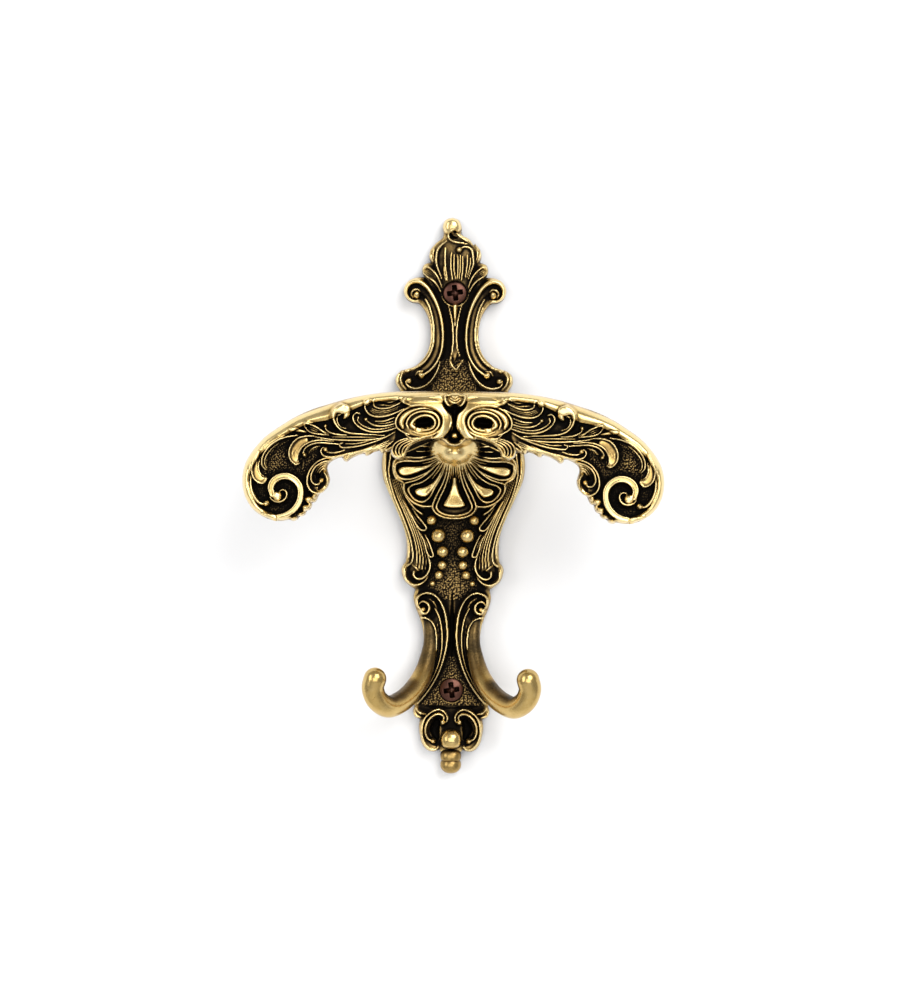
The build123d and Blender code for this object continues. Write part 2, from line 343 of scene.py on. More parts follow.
    def leaf(self, points, rise, tone=0.14, soft=1.4, mirror=True):
        """Swollen body of a leaf, a little more rubbed than the ground."""
        for pick, gap in self.fields(points, 0.5, mirror):
            self.swell[pick] = np.maximum(self.swell[pick], rise * step_up(gap / soft))
            self.tone[pick] = np.maximum(self.tone[pick], tone * step_up(gap / 0.5))

    def hollow(self, points, depth, tone, soft=0.6, mirror=True):
        """Sunk and darker field."""
        for pick, gap in self.fields(points, 0.5, mirror):
            fade = step_up(gap / soft)
            self.body[pick] -= depth * fade
            self.tone[pick] = self.tone[pick] * (1 - fade) + tone * fade

    def fill(self, points, level, tone, soft=1.0):
        """Plain bright field that brings the body up to one level."""
        for pick, gap in self.fields(points, 0.5):
            fade = step_up(gap / soft)
            self.body[pick] = np.maximum(self.body[pick], self.body[pick] * (1 - fade) + level * fade)
            self.tone[pick] = np.maximum(self.tone[pick], tone * fade)

    def bare_ground(self, from_edge):
        """Which points have neither rib, leaf nor cut."""
        plain = (self.ribs < 0.05) & (self.swell < 0.3) & (self.cuts < 0.1)
        return plain & (self.edge > from_edge)

    def shade(self, where, amount):
        """Darker (or brighter) ground."""
        self.tone = np.where(where & (self.ribs < 0.05), self.tone + amount, self.tone)

    def knob(self, x, z, r, rise, mirror=True):
        """A ball let into the surface."""
        for hand in ((1, -1) if mirror else (1,)):
            pick = self.near((hand * x, z), (hand * x, z), r)
            gap = np.hypot(self.points[pick, 0] - hand * x, self.points[pick, 1] - z) / r
            height = rise * np.clip(1 - gap ** 2, 0, 1) ** 0.6
            self.ribs[pick] = np.maximum(self.ribs[pick], height)
            self.tone[pick] = np.maximum(self.tone[pick], 0.25 * (gap < 0.9))

    def set_body(self, heights):
        """Heights of the plain surface under the carving."""
        self.body = heights
        self.swell = np.zeros(len(self.points))

    def pebbles(self, grain, rise, where, shine=0.34):
        """Small round grains over the bare ground, one to each cell of a jittered grid."""
        cell = np.floor(self.points / grain).astype(int)
        shift = cell.min(0) - 1
        size = cell.max(0) - shift + 2
        jitter = rng.uniform(0.12, 0.88, (size[0], size[1], 2))
        best = np.full(len(self.points), 9.0)
        for dx in (-1, 0, 1):
            for dz in (-1, 0, 1):
                c = cell - shift + [dx, dz]
                c = np.clip(c, 0, size - 1)
                seed = (c + shift + jitter[c[:, 0], c[:, 1]]) * grain
                best = np.minimum(best, np.linalg.norm(self.points - seed, axis=1) / grain)
        grains = np.where(where, np.clip(1 - (best / 0.46) ** 2, 0, 1), 0)
        self.ribs += rise * grains
        self.tone += shine * grains

    def heights(self):
        """Heights of the carved surface."""
        return self.body + self.swell + self.ribs - self.cuts

    def finish(self, base, fine=0.55, wide=2.2):
        """Closed shell in front of a flat base: vertices, faces and each vertex's wear, patina and painted
        light.
        """
        h = self.heights()
        grid = np.where(self.within, h, base + 0.3).reshape(self.shape)
        small = (grid - blur(grid, fine / self.pitch)).ravel()
        large = (grid - blur(grid, wide / self.pitch)).ravel()
        wear_and_painted_light = PLAIN_RUB + self.contrast * small + 0.3 * large + self.tone
        # Painted highlight along the outline: points close to the edge are brought up to at least the rim
        # value, over the wear of the edges.
        rim = 1 - step_up((self.edge - 0.15) / 0.35)
        wear_and_painted_light = wear_and_painted_light * (1 - rim) + np.maximum(wear_and_painted_light, self.rim_wear_and_highlight) * rim
        h = h - self.drop
        rows, cols = self.shape
        corner = (np.arange(rows - 1)[:, None] * cols + np.arange(cols - 1)[None, :]).ravel()
        cells = np.column_stack([corner, corner + 1, corner + cols + 1, corner + cols])
        cells = cells[self.core[cells].any(1)]
        used = np.unique(cells)
        number = np.full(len(self.points), -1)
        number[used] = np.arange(len(used))
        quads = number[cells]
        front = np.column_stack([self.points[used, 0], -h[used], self.points[used, 1]])
        loops = border_loops(quads)
        ring = np.concatenate(loops)
        back_number = np.full(len(used), -1)
        back_number[ring] = len(used) + np.arange(len(ring))
        back = front[ring].copy()
        back[:, 1] = -base
        faces = [tuple(q) for q in quads]
        for loop in loops:
            ahead = np.roll(loop, -1)
            for a, b in zip(loop, ahead):
                faces.append((int(b), int(a), int(back_number[a]), int(back_number[b])))
        flat = [[Vector((front[i, 0], front[i, 2], 0)) for i in loop] for loop in loops]
        order = np.concatenate([back_number[loop] for loop in loops])
        for triangle in geometry.tessellate_polygon(flat):
            faces.append(tuple(int(order[i]) for i in triangle))
        verts = np.vstack([front, back])
        shine = np.concatenate([wear_and_painted_light[used], np.full(len(ring), 0.5)])
        return verts, faces, shine


def border_loops(quads):
    """The closed loops of edges that only one face uses, in the faces' own direction."""
    pairs = np.vstack([quads[:, [0, 1]], quads[:, [1, 2]], quads[:, [2, 3]], quads[:, [3, 0]]])
    keys = {(int(a), int(b)) for a, b in pairs}
    ahead = {}
    for a, b in keys:
        if (b, a) not in keys:
            ahead.setdefault(a, []).append(b)
    loops = []
    while ahead:
        start = next(iter(ahead))
        loop = [start]
        place = start
        while True:
            follow = ahead[place].pop()
            if not ahead[place]:
                del ahead[place]
            if follow == start:
                break
            loop.append(follow)
            place = follow
        loops.append(np.array(loop))
    return loops


def ring_faces(rows, around, flip=False):
    """Faces between rows of rings of points, with both ends closed."""
    faces = []
    for i in range(rows - 1):
        low = i * around
        high = low + around
        for k in range(around):
            n = (k + 1) % around
            if flip:
                faces.append((low + k, high + k, high + n, low + n))
            else:
                faces.append((low + k, low + n, high + n, high + k))
    last = (rows - 1) * around
    ends = [tuple(range(around)), tuple(range(last, last + around))]
    return faces + ([ends[0], ends[1][::-1]] if flip else [ends[0][::-1], ends[1]])


def full_turn(around):
    """Even angles round a circle."""
    return np.linspace(0, 2 * math.pi, around, endpoint=False)


def tube(path, radii, around):
    """Closed round tube along a 3-D path, with one radius at each point: vertices and faces."""
    along_path = np.gradient(path, axis=0)
    along_path /= np.linalg.norm(along_path, axis=1)[:, None]
    across = np.cross(along_path[0], [0, 0, 1.0])
    if np.linalg.norm(across) < 0.2:
        across = np.cross(along_path[0], [1.0, 0, 0])
    rings = []
    angles = full_turn(around)
    for centre, forward, radius in zip(path, along_path, radii):
        across = across - forward * (across @ forward)
        across /= np.linalg.norm(across)
        up = np.cross(forward, across)
        rings.append(centre + radius * (np.cos(angles)[:, None] * across + np.sin(angles)[:, None] * up))
    return np.vstack(rings), ring_faces(len(rings), around)


def ball(centre, radii, shine=0.9, square=2.0):
    """Closed ball or ellipsoid; square above 2 makes it boxier."""
    rows = 18
    around = 32
    centre = np.asarray(centre, float)
    radii = np.broadcast_to(np.asarray(radii, float), 3)
    verts = [centre + [0, 0, radii[2]]]
    for i in range(1, rows):
        tilt = math.pi * i / rows
        for k in range(around):
            turn = 2 * math.pi * k / around
            level = [math.sin(tilt) * math.cos(turn), math.sin(tilt) * math.sin(turn), math.cos(tilt)]
            verts.append(centre + radii * level)
    verts.append(centre - [0, 0, radii[2]])
    faces = []
    for k in range(around):
        n = (k + 1) % around
        faces.append((0, 1 + k, 1 + n))
        for i in range(rows - 2):
            a = 1 + i * around
            faces.append((a + k, a + around + k, a + around + n, a + n))
        low = 1 + (rows - 2) * around
        faces.append((low + k, len(verts) - 1, low + n))
    verts = np.array(verts)
    out = (verts - centre) / radii
    verts = centre + radii * out / (np.abs(out) ** square).sum(1)[:, None] ** (1 / square)
    return verts, faces, np.full(len(verts), shine)


def lathe(profile, centre, shine=0.6):
    """Closed turned shape about a line along Y: profile is a list of radius and y."""
    around = 48
    angles = full_turn(around)
    rings = []
    for r, y in profile:
        rings.append(np.column_stack([
            centre[0] + r * np.cos(angles), np.full(around, y), centre[1] + r * np.sin(angles)]))
    verts = np.vstack(rings)
    return verts, ring_faces(len(rings), around, flip=True), np.full(len(verts), shine)


def outward(mesh):
    """Turns every closed shell's faces outwards."""
    shape = bmesh.new()
    shape.from_mesh(mesh)
    bmesh.ops.recalc_face_normals(shape, faces=shape.faces)
    shape.to_mesh(mesh)
    shape.free()


def build(name, parts, material, node):
    """One object from several closed shells, attached to the root body in place of the part's plain solid."""
    verts = []
    faces = []
    shine = []
    start = 0
    for v, f, s in parts:
        verts.append(v)
        faces += [tuple(int(i) + start for i in face) for face in f]
        shine.append(s)
        start += len(v)
    mesh = bpy.data.meshes.new(name)
    mesh.from_pydata((np.vstack(verts) * MM).tolist(), [], faces)
    mesh.validate()
    mesh.update()
    values = mesh.attributes.new("wear_and_painted_light", "FLOAT", "POINT")
    values.data.foreach_set("value", np.concatenate(shine).astype(np.float32))
    mesh.shade_smooth()
    mesh.materials.append(material)
    obj = bpy.data.objects.new(name, mesh)
    bpy.context.scene.collection.objects.link(obj)
    outward(mesh)
    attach(obj, "root")
    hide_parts(node)


# Materials

def shader(name):
    """A new material, its nodes, its links and its main shader."""
    material = bpy.data.materials.new(name)
    material.use_nodes = True
    nodes = material.node_tree.nodes
    return material, nodes, material.node_tree.links, nodes["Principled BSDF"]


def ramp(nodes, stops):
    """A colour ramp through (place, grey or colour) stops."""
    node = nodes.new("ShaderNodeValToRGB")
    elements = node.color_ramp.elements
    while len(elements) < len(stops):
        elements.new(0.5)
    for element, (place, colour) in zip(elements, stops):
        element.position = place
        if not isinstance(colour, tuple):
            colour = (colour, colour, colour)
        element.color = (*colour, 1)
    return node


def noise(nodes, links, scale, detail=3.0, rough=0.55):
    """Noise in the object's own space."""
    place = nodes.new("ShaderNodeTexCoord")
    node = nodes.new("ShaderNodeTexNoise")
    node.inputs["Scale"].default_value = scale
    node.inputs["Detail"].default_value = detail
    node.inputs["Roughness"].default_value = rough
    links.new(place.outputs["Object"], node.inputs["Vector"])
    return node


def maths(nodes, links, operation, *values):
    """One arithmetic step on sockets or numbers."""
    node = nodes.new("ShaderNodeMath")
    node.operation = operation
    for socket, value in zip(node.inputs, values):
        if isinstance(value, (int, float)):
            socket.default_value = value
        else:
            links.new(value, socket)
    return node.outputs[0]


def wear_and_painted_light_value(nodes):
    """How worn the surface is, with painted highlights and painted shade in it, from the mesh."""
    node = nodes.new("ShaderNodeAttribute")
    node.attribute_name = "wear_and_painted_light"
    return node.outputs["Fac"]


def grain_bump(nodes, links, main, grain, strength, distance):
    """Fine unevenness of the surface."""
    bump = nodes.new("ShaderNodeBump")
    bump.inputs["Strength"].default_value = strength
    bump.inputs["Distance"].default_value = distance
    links.new(grain.outputs[0], bump.inputs["Height"])
    links.new(bump.outputs["Normal"], main.inputs["Normal"])


def antique_brass():
    """Dark patina in the hollows and brass worn bright where the carving stands out, with painted highlights
    and painted shade.
    """
    material, nodes, links, main = shader("antique_brass")
    hollow = nodes.new("ShaderNodeAmbientOcclusion")
    hollow.samples = 8
    hollow.inputs["Distance"].default_value = 0.0035
    broad = noise(nodes, links, 190, 5)
    fine = noise(nodes, links, 1900, 3)
    shade = maths(nodes, links, "MULTIPLY_ADD", broad.outputs[0], 0.34, -0.17)
    speck = maths(nodes, links, "MULTIPLY_ADD", fine.outputs[0], 0.22, -0.11)
    # Painted shade: occlusion darkens the colour near other surfaces, partly patina in the carving's hollows,
    # partly painted shade by the wall and where parts meet.
    occlusion_patina_and_shade = maths(nodes, links, "MULTIPLY_ADD", hollow.outputs["AO"], 0.7, -0.62)
    total = maths(nodes, links, "ADD", wear_and_painted_light_value(nodes), shade)
    total = maths(nodes, links, "ADD", total, speck)
    total = maths(nodes, links, "ADD", total, occlusion_patina_and_shade)
    total = maths(nodes, links, "MULTIPLY", total, 0.8)
    colour = ramp(nodes, [
        (0.0, (0.002, 0.0015, 0.001)),
        (0.22, (0.008, 0.0055, 0.0035)),
        (0.36, (0.060, 0.041, 0.018)),
        (0.5, (0.24, 0.152, 0.053)),
        (0.68, (0.55, 0.372, 0.125)),
        (0.98, (0.86, 0.67, 0.32)),
    ])
    rough = ramp(nodes, [(0.16, 0.6), (0.44, 0.4), (0.7, 0.25)])
    metal = ramp(nodes, [(0.12, 0.5), (0.44, 1.0)])
    main.inputs["Specular IOR Level"].default_value = 0.05
    for node in (colour, rough, metal):
        links.new(total, node.inputs["Fac"])
    links.new(colour.outputs["Color"], main.inputs["Base Color"])
    links.new(rough.outputs["Color"], main.inputs["Roughness"])
    links.new(metal.outputs["Color"], main.inputs["Metallic"])
    grain_bump(nodes, links, main, fine, 0.25, 0.00012)
    return material


def screw_metal(name, dark, light, low, high):
    """Satin metal between two colours and two roughnesses, with painted shade in its recess and a painted
    highlight at its rim.
    """
    material, nodes, links, main = shader(name)
    grain = noise(nodes, links, 900, 4)
    colour = ramp(nodes, [(0.0, (0.003, 0.002, 0.002)), (0.3, dark), (0.75, light)])
    rough = ramp(nodes, [(0.3, low), (0.8, high)])
    # Painted shade and highlight: the mesh value paints the recess dark and the rim lighter.
    painted_recess_shade_and_rim_highlight = maths(nodes, links, "MULTIPLY_ADD", wear_and_painted_light_value(nodes), 0.9, -0.4)
    total = maths(nodes, links, "ADD", grain.outputs[0], painted_recess_shade_and_rim_highlight)
    links.new(total, colour.inputs["Fac"])
    links.new(grain.outputs[0], rough.inputs["Fac"])
    links.new(colour.outputs["Color"], main.inputs["Base Color"])
    links.new(rough.outputs["Color"], main.inputs["Roughness"])
    main.inputs["Metallic"].default_value = 1.0
    grain_bump(nodes, links, main, grain, 0.3, 0.00008)
    return material


BRASS = antique_brass()
BRONZE = screw_metal("bronzed_screw", (0.02, 0.009, 0.007), (0.11, 0.050, 0.036), 0.3, 0.5)
ZINC = screw_metal("plated_steel", (0.42, 0.41, 0.38), (0.66, 0.65, 0.62), 0.25, 0.42)


# Wall plate with its ornament

def plate_outline():
    """Outline of the wall plate, with the knob's curl on its right."""
    left = [
        "-1.1 91.1, -3.3 90.3, -4.3 88.2, -4 86.2, -4.3 84.4, -6.3 82.8",
        "-6.3 82.8, -8.1 80.6, -8.7 78.3, -8.2 76.2",
        "-8.2 76.2, -10.3 75.4, -11 73.5, -10.3 71.3",
        "-10.3 71.3, -13.2 71, -15.8 69.6, -17.1 66.8, -16.2 64.2, -14.2 62.9, -12 62.5, -10.3 60.6, "
        "-8.8 57.6, -8.1 54, -8.1 50, -9 46.4, -10.6 43.9, -12.8 41.8, -15.2 40.8, -17.4 40.2",
        "-17.4 40.2, -19.2 38.6, -19.5 36, -18 33.4",
        "-18 33.4, -19.5 27, -22.3 18, -23.8 10, -23.3 4, -21.5 -0.5, -19 -6, -16.5 -11.8, -15.5 -16, "
        "-15.3 -20, -15.6 -23.4",
        "-15.6 -23.4, -16.9 -25.4, -16.8 -27.6, -15.9 -29.8, -14.2 -31.4, -12.4 -32.6",
        "-12.4 -32.6, -12.9 -35.4, -12.2 -38.6, -10.9 -41.8, -9.8 -45.2, -9.4 -49.5, -9.9 -53.8, -11 -58, "
        "-12.5 -62, -13.9 -65.5, -13.9 -68.8, -12.2 -71.4",
        "-12.2 -71.4, -12.7 -73.3, -12.1 -75, -10.4 -75.8",
        "-10.4 -75.8, -10.7 -78, -10.4 -81, -9.6 -84, -8 -86, -6 -86.6, -4.4 -86.2",
        "-4.4 -86.2, -3.9 -85.9, -3.5 -86.6, 0 -87",
    ]
    crest = "6.3 81.6, 4.6 83.9, 1.9 85.6, 2.1 87.6, 1.1 90.2, -1.1 91.1"
    lines = [smooth(part)[:-1] for part in left]
    for part in left[::-1][:-1]:
        lines.append(smooth(mirrored(part)[::-1])[:-1])
    lines.append(smooth(crest)[:-1])
    return np.vstack(lines)


def recess_outline():
    """Outline of the plate's open back."""
    half = ("0 59, -5.4 52, -10 41, -14.7 34, -19.5 22, -21.1 11, -18 -3, -12.7 -20, -12.7 -27, -9.4 -36, "
            "-6.9 -46.5, -5.6 -54, 0 -58")
    return both_sides(smooth(half, 1.0)[1:-1])


def carve_finial(relief):
    """Top knob and the leaf under it, down to the upper screw."""
    relief.mound("0 84, 0 78, 0 70", 14, 1.3, (0.6, 0.8), mirror=False)
    relief.leaf("0.4 82.4, -3.6 82.6, -6 79.6, -5.6 74, -4 69.6, 4 69.6, 5.2 74, 5.8 79, 4 81.2", 0.3, 0.09,
        mirror=False)
    relief.mound("-1.2 88.2, -1.1 87.9", 6.6, 1.9, mirror=False)
    relief.pad("-1.1 91, -3.4 90.1, -4.2 88, -3.6 86, -2 85.4, -0.9 86.5, 0.6 85.9, 1.8 87, 1.8 88.8, "
        "0.8 90.3", 0.5, bevel=1.2, tone=-0.1, mirror=False)
    relief.rib("-0.7 86.7, -2 86, -2.4 84.8, -1.7 83.6, 0 82.8, 2.2 82.5, 4 82.2", 0.6, 1.0, mirror=False)
    relief.rib("0.3 85.7 0.8, 1.6 84.9 1.3, 3.6 83.9 1.5, 5.4 82.6 1.3, 6.2 81.4 0.8", 0, 0.8,
        section="band", mirror=False, tone=0.12)
    relief.cut("-1.5 85.6, -1.2 84.6, 0.4 84.2", 0.9, 0.9, (0.6, 0.6), mirror=False)
    relief.cut("-0.5 86.3, 0 86.1", 0.8, 0.8, (1, 1), mirror=False)
    relief.rib("1.6 80.6 0.9, 2.8 81.2 0.9, 4.4 81.1 0.8, 5.4 80.2 0.7, 5.9 78 0.6, 6 75.5 0.55, "
        "5.2 73 0.55, 4.4 70.5 0.5", 0, 1.2, mirror=False)
    relief.knob(1.3, 80.2, 1.0, 1.5, mirror=False)
    relief.rib("-2.9 83.2 0.5, -4.6 81.8 0.8, -5.9 80 0.8, -6.3 77.5 0.6, -6.1 75 0.55, -5.2 72.5 0.55, "
        "-4.5 70.5 0.5", 0, 1.2, mirror=False, tone=0.1)
    for top, bottom, width in (
        ((-3.4, 81), (-2.6, 70), 0.6), ((-3.6, 76), (-3.0, 70), 0.45), ((-1.3, 79.4), (-0.9, 70.4), 0.5),
        ((-0.4, 78.6), (0.1, 70.6), 0.4), ((0.7, 78.6), (0.7, 70.6), 0.5), ((1.6, 78.4), (1.3, 70.6), 0.4),
        ((2.4, 78), (2.1, 70.2), 0.55), ((3.9, 78.6), (3.4, 71), 0.4), ((5.1, 77.6), (4, 71.2), 0.4),
    ):
        bow = (0.25 if top[0] > 0 else -0.35)
        middle = ((top[0] + bottom[0]) / 2 + bow, (top[1] + bottom[1]) / 2)
        relief.rib([top, middle, bottom], width, 0.75, ends=(0.6, 0.8), mirror=False, foot=0.6)
    relief.rib("-10.2 74.2, -9 74.4, -7.4 73.2, -6 71.5, -5 69.4, -4.4 67.6", 0.65, 1.2)
    relief.rib("-10.6 72.6, -9.4 71.4, -7.4 70, -5.8 68.2, -4.8 66.4", 0.65, 1.2)
    relief.veins("-9.4 73.6, -7.4 72.2, -5.4 69", "-9.8 72.6, -7.6 70.9, -5.4 68.2", 3, 0.4, 0.55)
    relief.veins("-10 71.2, -8 69.4, -6.4 67.2", "-9.4 70.2, -8.2 69, -7 67.2", 2, 0.4, 0.5)
    relief.rib("-8.2 80.4, -8.2 78.4, -7.4 76.2", 0.6, 0.8)
    relief.rib("-7.2 80.6, -7.4 78.6, -6.9 76.4", 0.45, 0.6)


def carve_upper_scrolls(relief):
    """Both tall C scrolls, with their volutes, and the collar under them."""
    relief.mound("-13.6 67, -10 66.5, -6.6 62, -5.4 54, -5.6 47, -8 42, -11.5 39", 3.4, 0.7, (1, 0.7))
    relief.rib("-12.2 63.2 0.9, -14.2 63.2 1.2, -16 64.7 1.8, -16.3 67.2 2.3, -14.5 69.4 2.4, "
        "-12 69.6 2.2, -9.6 68 1.9, -7.4 65 1.6, -5.7 61.5 1.3, -4.6 57.8 1.15, -4 54 1.1, -3.9 50 1.05, "
        "-4.5 46 1.05, -5.9 42.8 1.05, -7.8 40.4 1.1, -9.8 38.9 1.3", 0, 1.6, ends=(0.7, 0.8), tone=0.12)
    relief.rib("-16.9 68.2, -15.4 70.2, -12.8 70.8, -10.6 70.6", 0.9, 0.5, tone=0.25)
    relief.rib("-11.6 66.3, -12.4 67, -13.8 66.7, -14.5 65.5, -14 64.4", 0.8, 1.3)
    relief.knob(-12.7, 65.1, 1.25, 1.9)
    relief.leaf("-9.4 66, -6.4 61, -4.8 54.5, -4.8 49, -6 44.5, -9 40.6, -11.6 40, -9.2 43, -7.4 47.4, "
        "-7 52, -7.5 57, -9.4 62.4", 0.25, 0.19)
    relief.rib("-9.8 63.8, -8.6 61.6, -7.5 58, -7 54.6, -6.9 51, -7.4 47.6, -8.7 44.6, -10.3 42.6, "
        "-12.4 41.2, -14.6 40.5", 0.55, 1.3)
    relief.rib("-9.3 61, -8.2 57.4, -7.7 54, -7.7 50.4, -8.5 46.8, -10 44.2, -12.2 42.2", 0.45, 0.7)
    relief.knob(-15.5, 40.3, 1.0, 1.3)
    relief.knob(-10.9, 38.4, 1.25, 2.0)
    relief.rib("-10.4 39.9, -12 39.7, -12.8 38.6", 0.6, 0.9)
    relief.rib("-14.7 37.3, -15.8 36.9, -15.8 35.5, -14.7 34.6, -12.6 34.2, -10.4 34.7, -8.4 36, -6.8 38, "
        "-5.5 40.6, -4.8 43", 0.6, 1.3)
    relief.knob(-14.9, 36.6, 1.0, 1.7)
    relief.rib("-17 39.6, -17.8 37.6, -17.4 35.6, -16 34", 0.6, 1.1)
    relief.rib("-17.7 40, -18.8 38, -18.6 35.6, -17.6 33.8", 0.7, 0.7, tone=0.15)
    relief.veins("-7.2 41.4, -5.4 44.6, -4.2 48", "-8.4 38.4, -6.6 40.6, -5 44", 3, 0.4, 0.5)

    # Leaf hanging from the upper screw
    relief.leaf("-2 62, 0.1 61, 2.2 62, 1.3 57.5, 0.9 52, 1.4 46, 0.1 43.4, -1.2 46, -0.7 52, -1 57.5",
        0.45, 0.1, soft=0.6, mirror=False)
    relief.rib("-2.2 62.2, -1.6 59.8, -0.8 56, -0.5 51, -0.7 47, -1.3 43.8", 0.5, 0.9, mirror=False)
    relief.rib("2.4 62.2, 1.7 59.8, 0.9 56, 0.7 51, 1 47.4, 1.7 45", 0.5, 0.9, mirror=False)
    relief.rib("0.1 61.6 1.9, 0.1 59.4 1.4, 0.1 57 0.8, 0.1 55 0.3", 0, 1.2, ends=(1, 0.6), mirror=False,
        tone=0.2)
    relief.rib("-1.5 43.4, -0.6 41.6, 0.6 40.5, 1.5 41.7, 2.9 43.7", 0.5, 0.9, mirror=False)


def carve_waist(relief):
    """Long leaves beside the pearls, rolled in at the cuffs."""
    relief.mound("-20.6 2, -16 -8, -12.8 -16, -11.4 -22, -11.6 -26", 6.8, 0.9, (0.5, 0.8))
    relief.leaf("-21.6 9, -21.8 3, -19.6 -3, -16 -10, -14.2 -16, -13.6 -21, -13 -26, -9.6 -27, -8.2 -23, "
        "-8.8 -18.6, -10.4 -13, -12.6 -8.6, -15 -3.6, -17.4 2, -18.4 8", 0.3, 0.15)
    relief.rib("-22.6 14 0.9, -22.6 6 1.2, -20.9 -1 1.3, -18.2 -7.6 1.2, -15.9 -13.4 1, -14.6 -18 1, "
        "-14.6 -22 0.8", 0, 0.9, section="band", tone=0.1)
    relief.rib("-20.6 14, -21.4 6, -19.8 -1, -16.9 -8, -14.6 -14, -13.6 -18, -13.2 -21.5, -13.7 -23.8, "
        "-15.1 -24.9", 0.6, 1.4)
    relief.veins("-20.4 4, -18.4 -2, -15.3 -9, -13 -15, -12 -19.5, -11.9 -23, -12.2 -25.6", "-18.6 4, "
        "-16 -3.4, -12.8 -10, -10.8 -15, -9.4 -19.6, -8.8 -23, -9 -26", 4, 0.5, 0.95)
    relief.rib("-17.4 2.6, -15.8 -1.6, -14 -4.2, -12.2 -6.2, -10.2 -7.6", 0.6, 1.4, ends=(0.5, 0.9))
    relief.rib("-16.6 -3, -13.9 -8, -11.8 -11.6, -10.5 -12.9, -9.2 -12.9, -8.8 -12.2, -9.8 -10.6, "
        "-11.8 -8.2, -13.6 -5.6", 0.55, 1.3)
    relief.veins("-15.4 -4.4, -13 -8.4, -10.2 -12", "-13.8 -5.4, -12 -8.2, -9.8 -11.4", 2, 0.4, 0.7)
    relief.rib("-12.2 -12, -10.6 -14.4, -9.4 -17, -8.6 -20, -7.6 -21.7, -6.5 -21.6, -6.8 -20, -7.9 -17, "
        "-9.2 -14.4", 0.55, 1.3)
    relief.rib("-10 -14.6, -8.6 -17.4, -7.6 -20.4", 0.45, 0.8)
    relief.rib("-8.4 -21.2, -7.6 -23.4, -7.6 -25.8, -8.7 -27.9, -10.3 -29, -11.8 -29, -12.8 -28, "
        "-12.8 -26.8", 0.85, 1.6, ends=(0.5, 0.9), tone=0.1)
    relief.rib("-7.9 -27.6, -8.7 -29.2, -10.4 -30.7, -12.6 -31.1, -14.6 -30.2, -15.7 -28.6, -15.7 -26.6",
        0.7, 1.2)
    relief.rib("-16.2 -24.8, -16.1 -26.4, -16 -28", 0.8, 0.6)
    relief.rib("-13.4 -24.4, -12.2 -25.4, -11 -26.6", 0.6, 0.8)
    relief.cut("-10.6 -26.8, -11.4 -27.4", 1.8, 0.8, (0.8, 0.8))


def carve_lower_scrolls(relief):
    """Scrolls that the prongs grow out of."""
    relief.mound("-6.4 -44, -6.4 -50, -7.4 -56, -9.6 -62", 5.6, 0.8, (0.6, 0.8))
    relief.rib("-10.2 -39.6, -11.4 -37.8, -11.6 -36, -10.6 -34.5, -8.8 -33.8, -6.6 -34.1, -4.6 -35.7, "
        "-3.2 -38, -2.2 -41, -1.7 -44.5, -1.5 -48, -1.9 -52, -3 -56.5, -4.6 -60.8, -6.6 -64.5, -9 -68, "
        "-11 -70.4", 0.65, 2.1, ends=(0.6, 0.5))
    relief.rib("-11 -37.6 0.5, -10.2 -36.7 0.7, -8.8 -36.8 0.9, -7.8 -37.8 1, -7.6 -39.2 1, -8.4 -40.4 1, "
        "-9.7 -40.5 0.9, -10.4 -39.6 0.8", 0, 1.8, ends=(0.6, 0.9), tone=0.1)
    relief.knob(-9.5, -39.1, 0.95, 1.9)
    relief.leaf("-9.4 -43.4, -6.8 -42.4, -4.6 -40, -2.8 -43, -2.4 -49, -3 -55, -5 -60.6, -8 -65.6, "
        "-10.6 -68.6, -9.6 -64.6, -7.4 -60, -6 -54, -5.8 -48", 0.3, 0.1)
    relief.rib("-10 -41.9, -8.8 -42.1, -7 -43.1, -5.8 -45, -5.2 -48, -5.2 -52, -5.7 -56, -6.9 -60, "
        "-8.6 -63.6, -10.6 -66.6", 0.6, 1.9)
    relief.rib("-5.7 -38.8, -4.2 -42, -3.4 -46, -3.2 -50, -3.6 -54, -4.8 -58.6, -6.8 -63, -9 -66.6", 0.6,
        1.0)
    relief.veins("-4.9 -44, -4.2 -50, -4.8 -56, -6.4 -61", "-2.8 -43, -2.4 -49, -3 -54, -4.6 -59.6", 2, 0.4,
        0.6)
    relief.rib("-8.2 -35.6, -6.2 -36.8, -5 -39", 0.45, 0.5)
    relief.cut("0 -34, 0 -45, 0 -55", 1.5, 1.3, mirror=False)


def carve_foot(relief):
    """Pair of hooked leaves beside the bottom beads."""
    relief.rib("-2.2 -77.3, -1.5 -76.4, -1.3 -75, -2.2 -73.4, -3.6 -72.5, -5.2 -72.6, -7 -73.6, "
        "-8.6 -75.2, -9.5 -77.5, -9.7 -80, -9.3 -82.4, -8 -84.6, -6.2 -85.8, -4.8 -85.7, -4.2 -84.8", 0.7,
        1.2)
    relief.rib("-3.2 -76.2, -2.4 -75.4, -2.8 -74.4, -4.2 -73.9, -6 -74.5, -7.6 -76.2, -8.4 -78.4, "
        "-8.4 -80.4, -7.6 -82.1, -6.2 -83", 1.0, 1.7, tone=0.1)
    relief.knob(-2.8, -76.7, 1.0, 1.9)
    relief.knob(-5.8, -82.8, 1.05, 1.9)
    relief.cut("-4.6 -76.6, -5.4 -79, -4.8 -81.6", 3.6, 1.5, (0.7, 0.6))
    relief.rib("-8.6 -74, -10.4 -73.5, -11.5 -72.2", 0.8, 1.2)
    relief.rib("-10 -75.2, -11.6 -74.6, -12.3 -73.2", 0.7, 0.7)
    relief.cut("-8.6 -71.4, -4 -72, 0 -72", 1.2, 0.5)
    relief.leaf("-3 -73, -6 -72.8, -9 -75.4, -10 -80, -8.6 -84.6, -6 -86, -4.4 -84.8, -6.6 -83.4, "
        "-8 -80.4, -7.4 -76.8, -5.4 -74.6", 0.3, 0.16, soft=0.7)


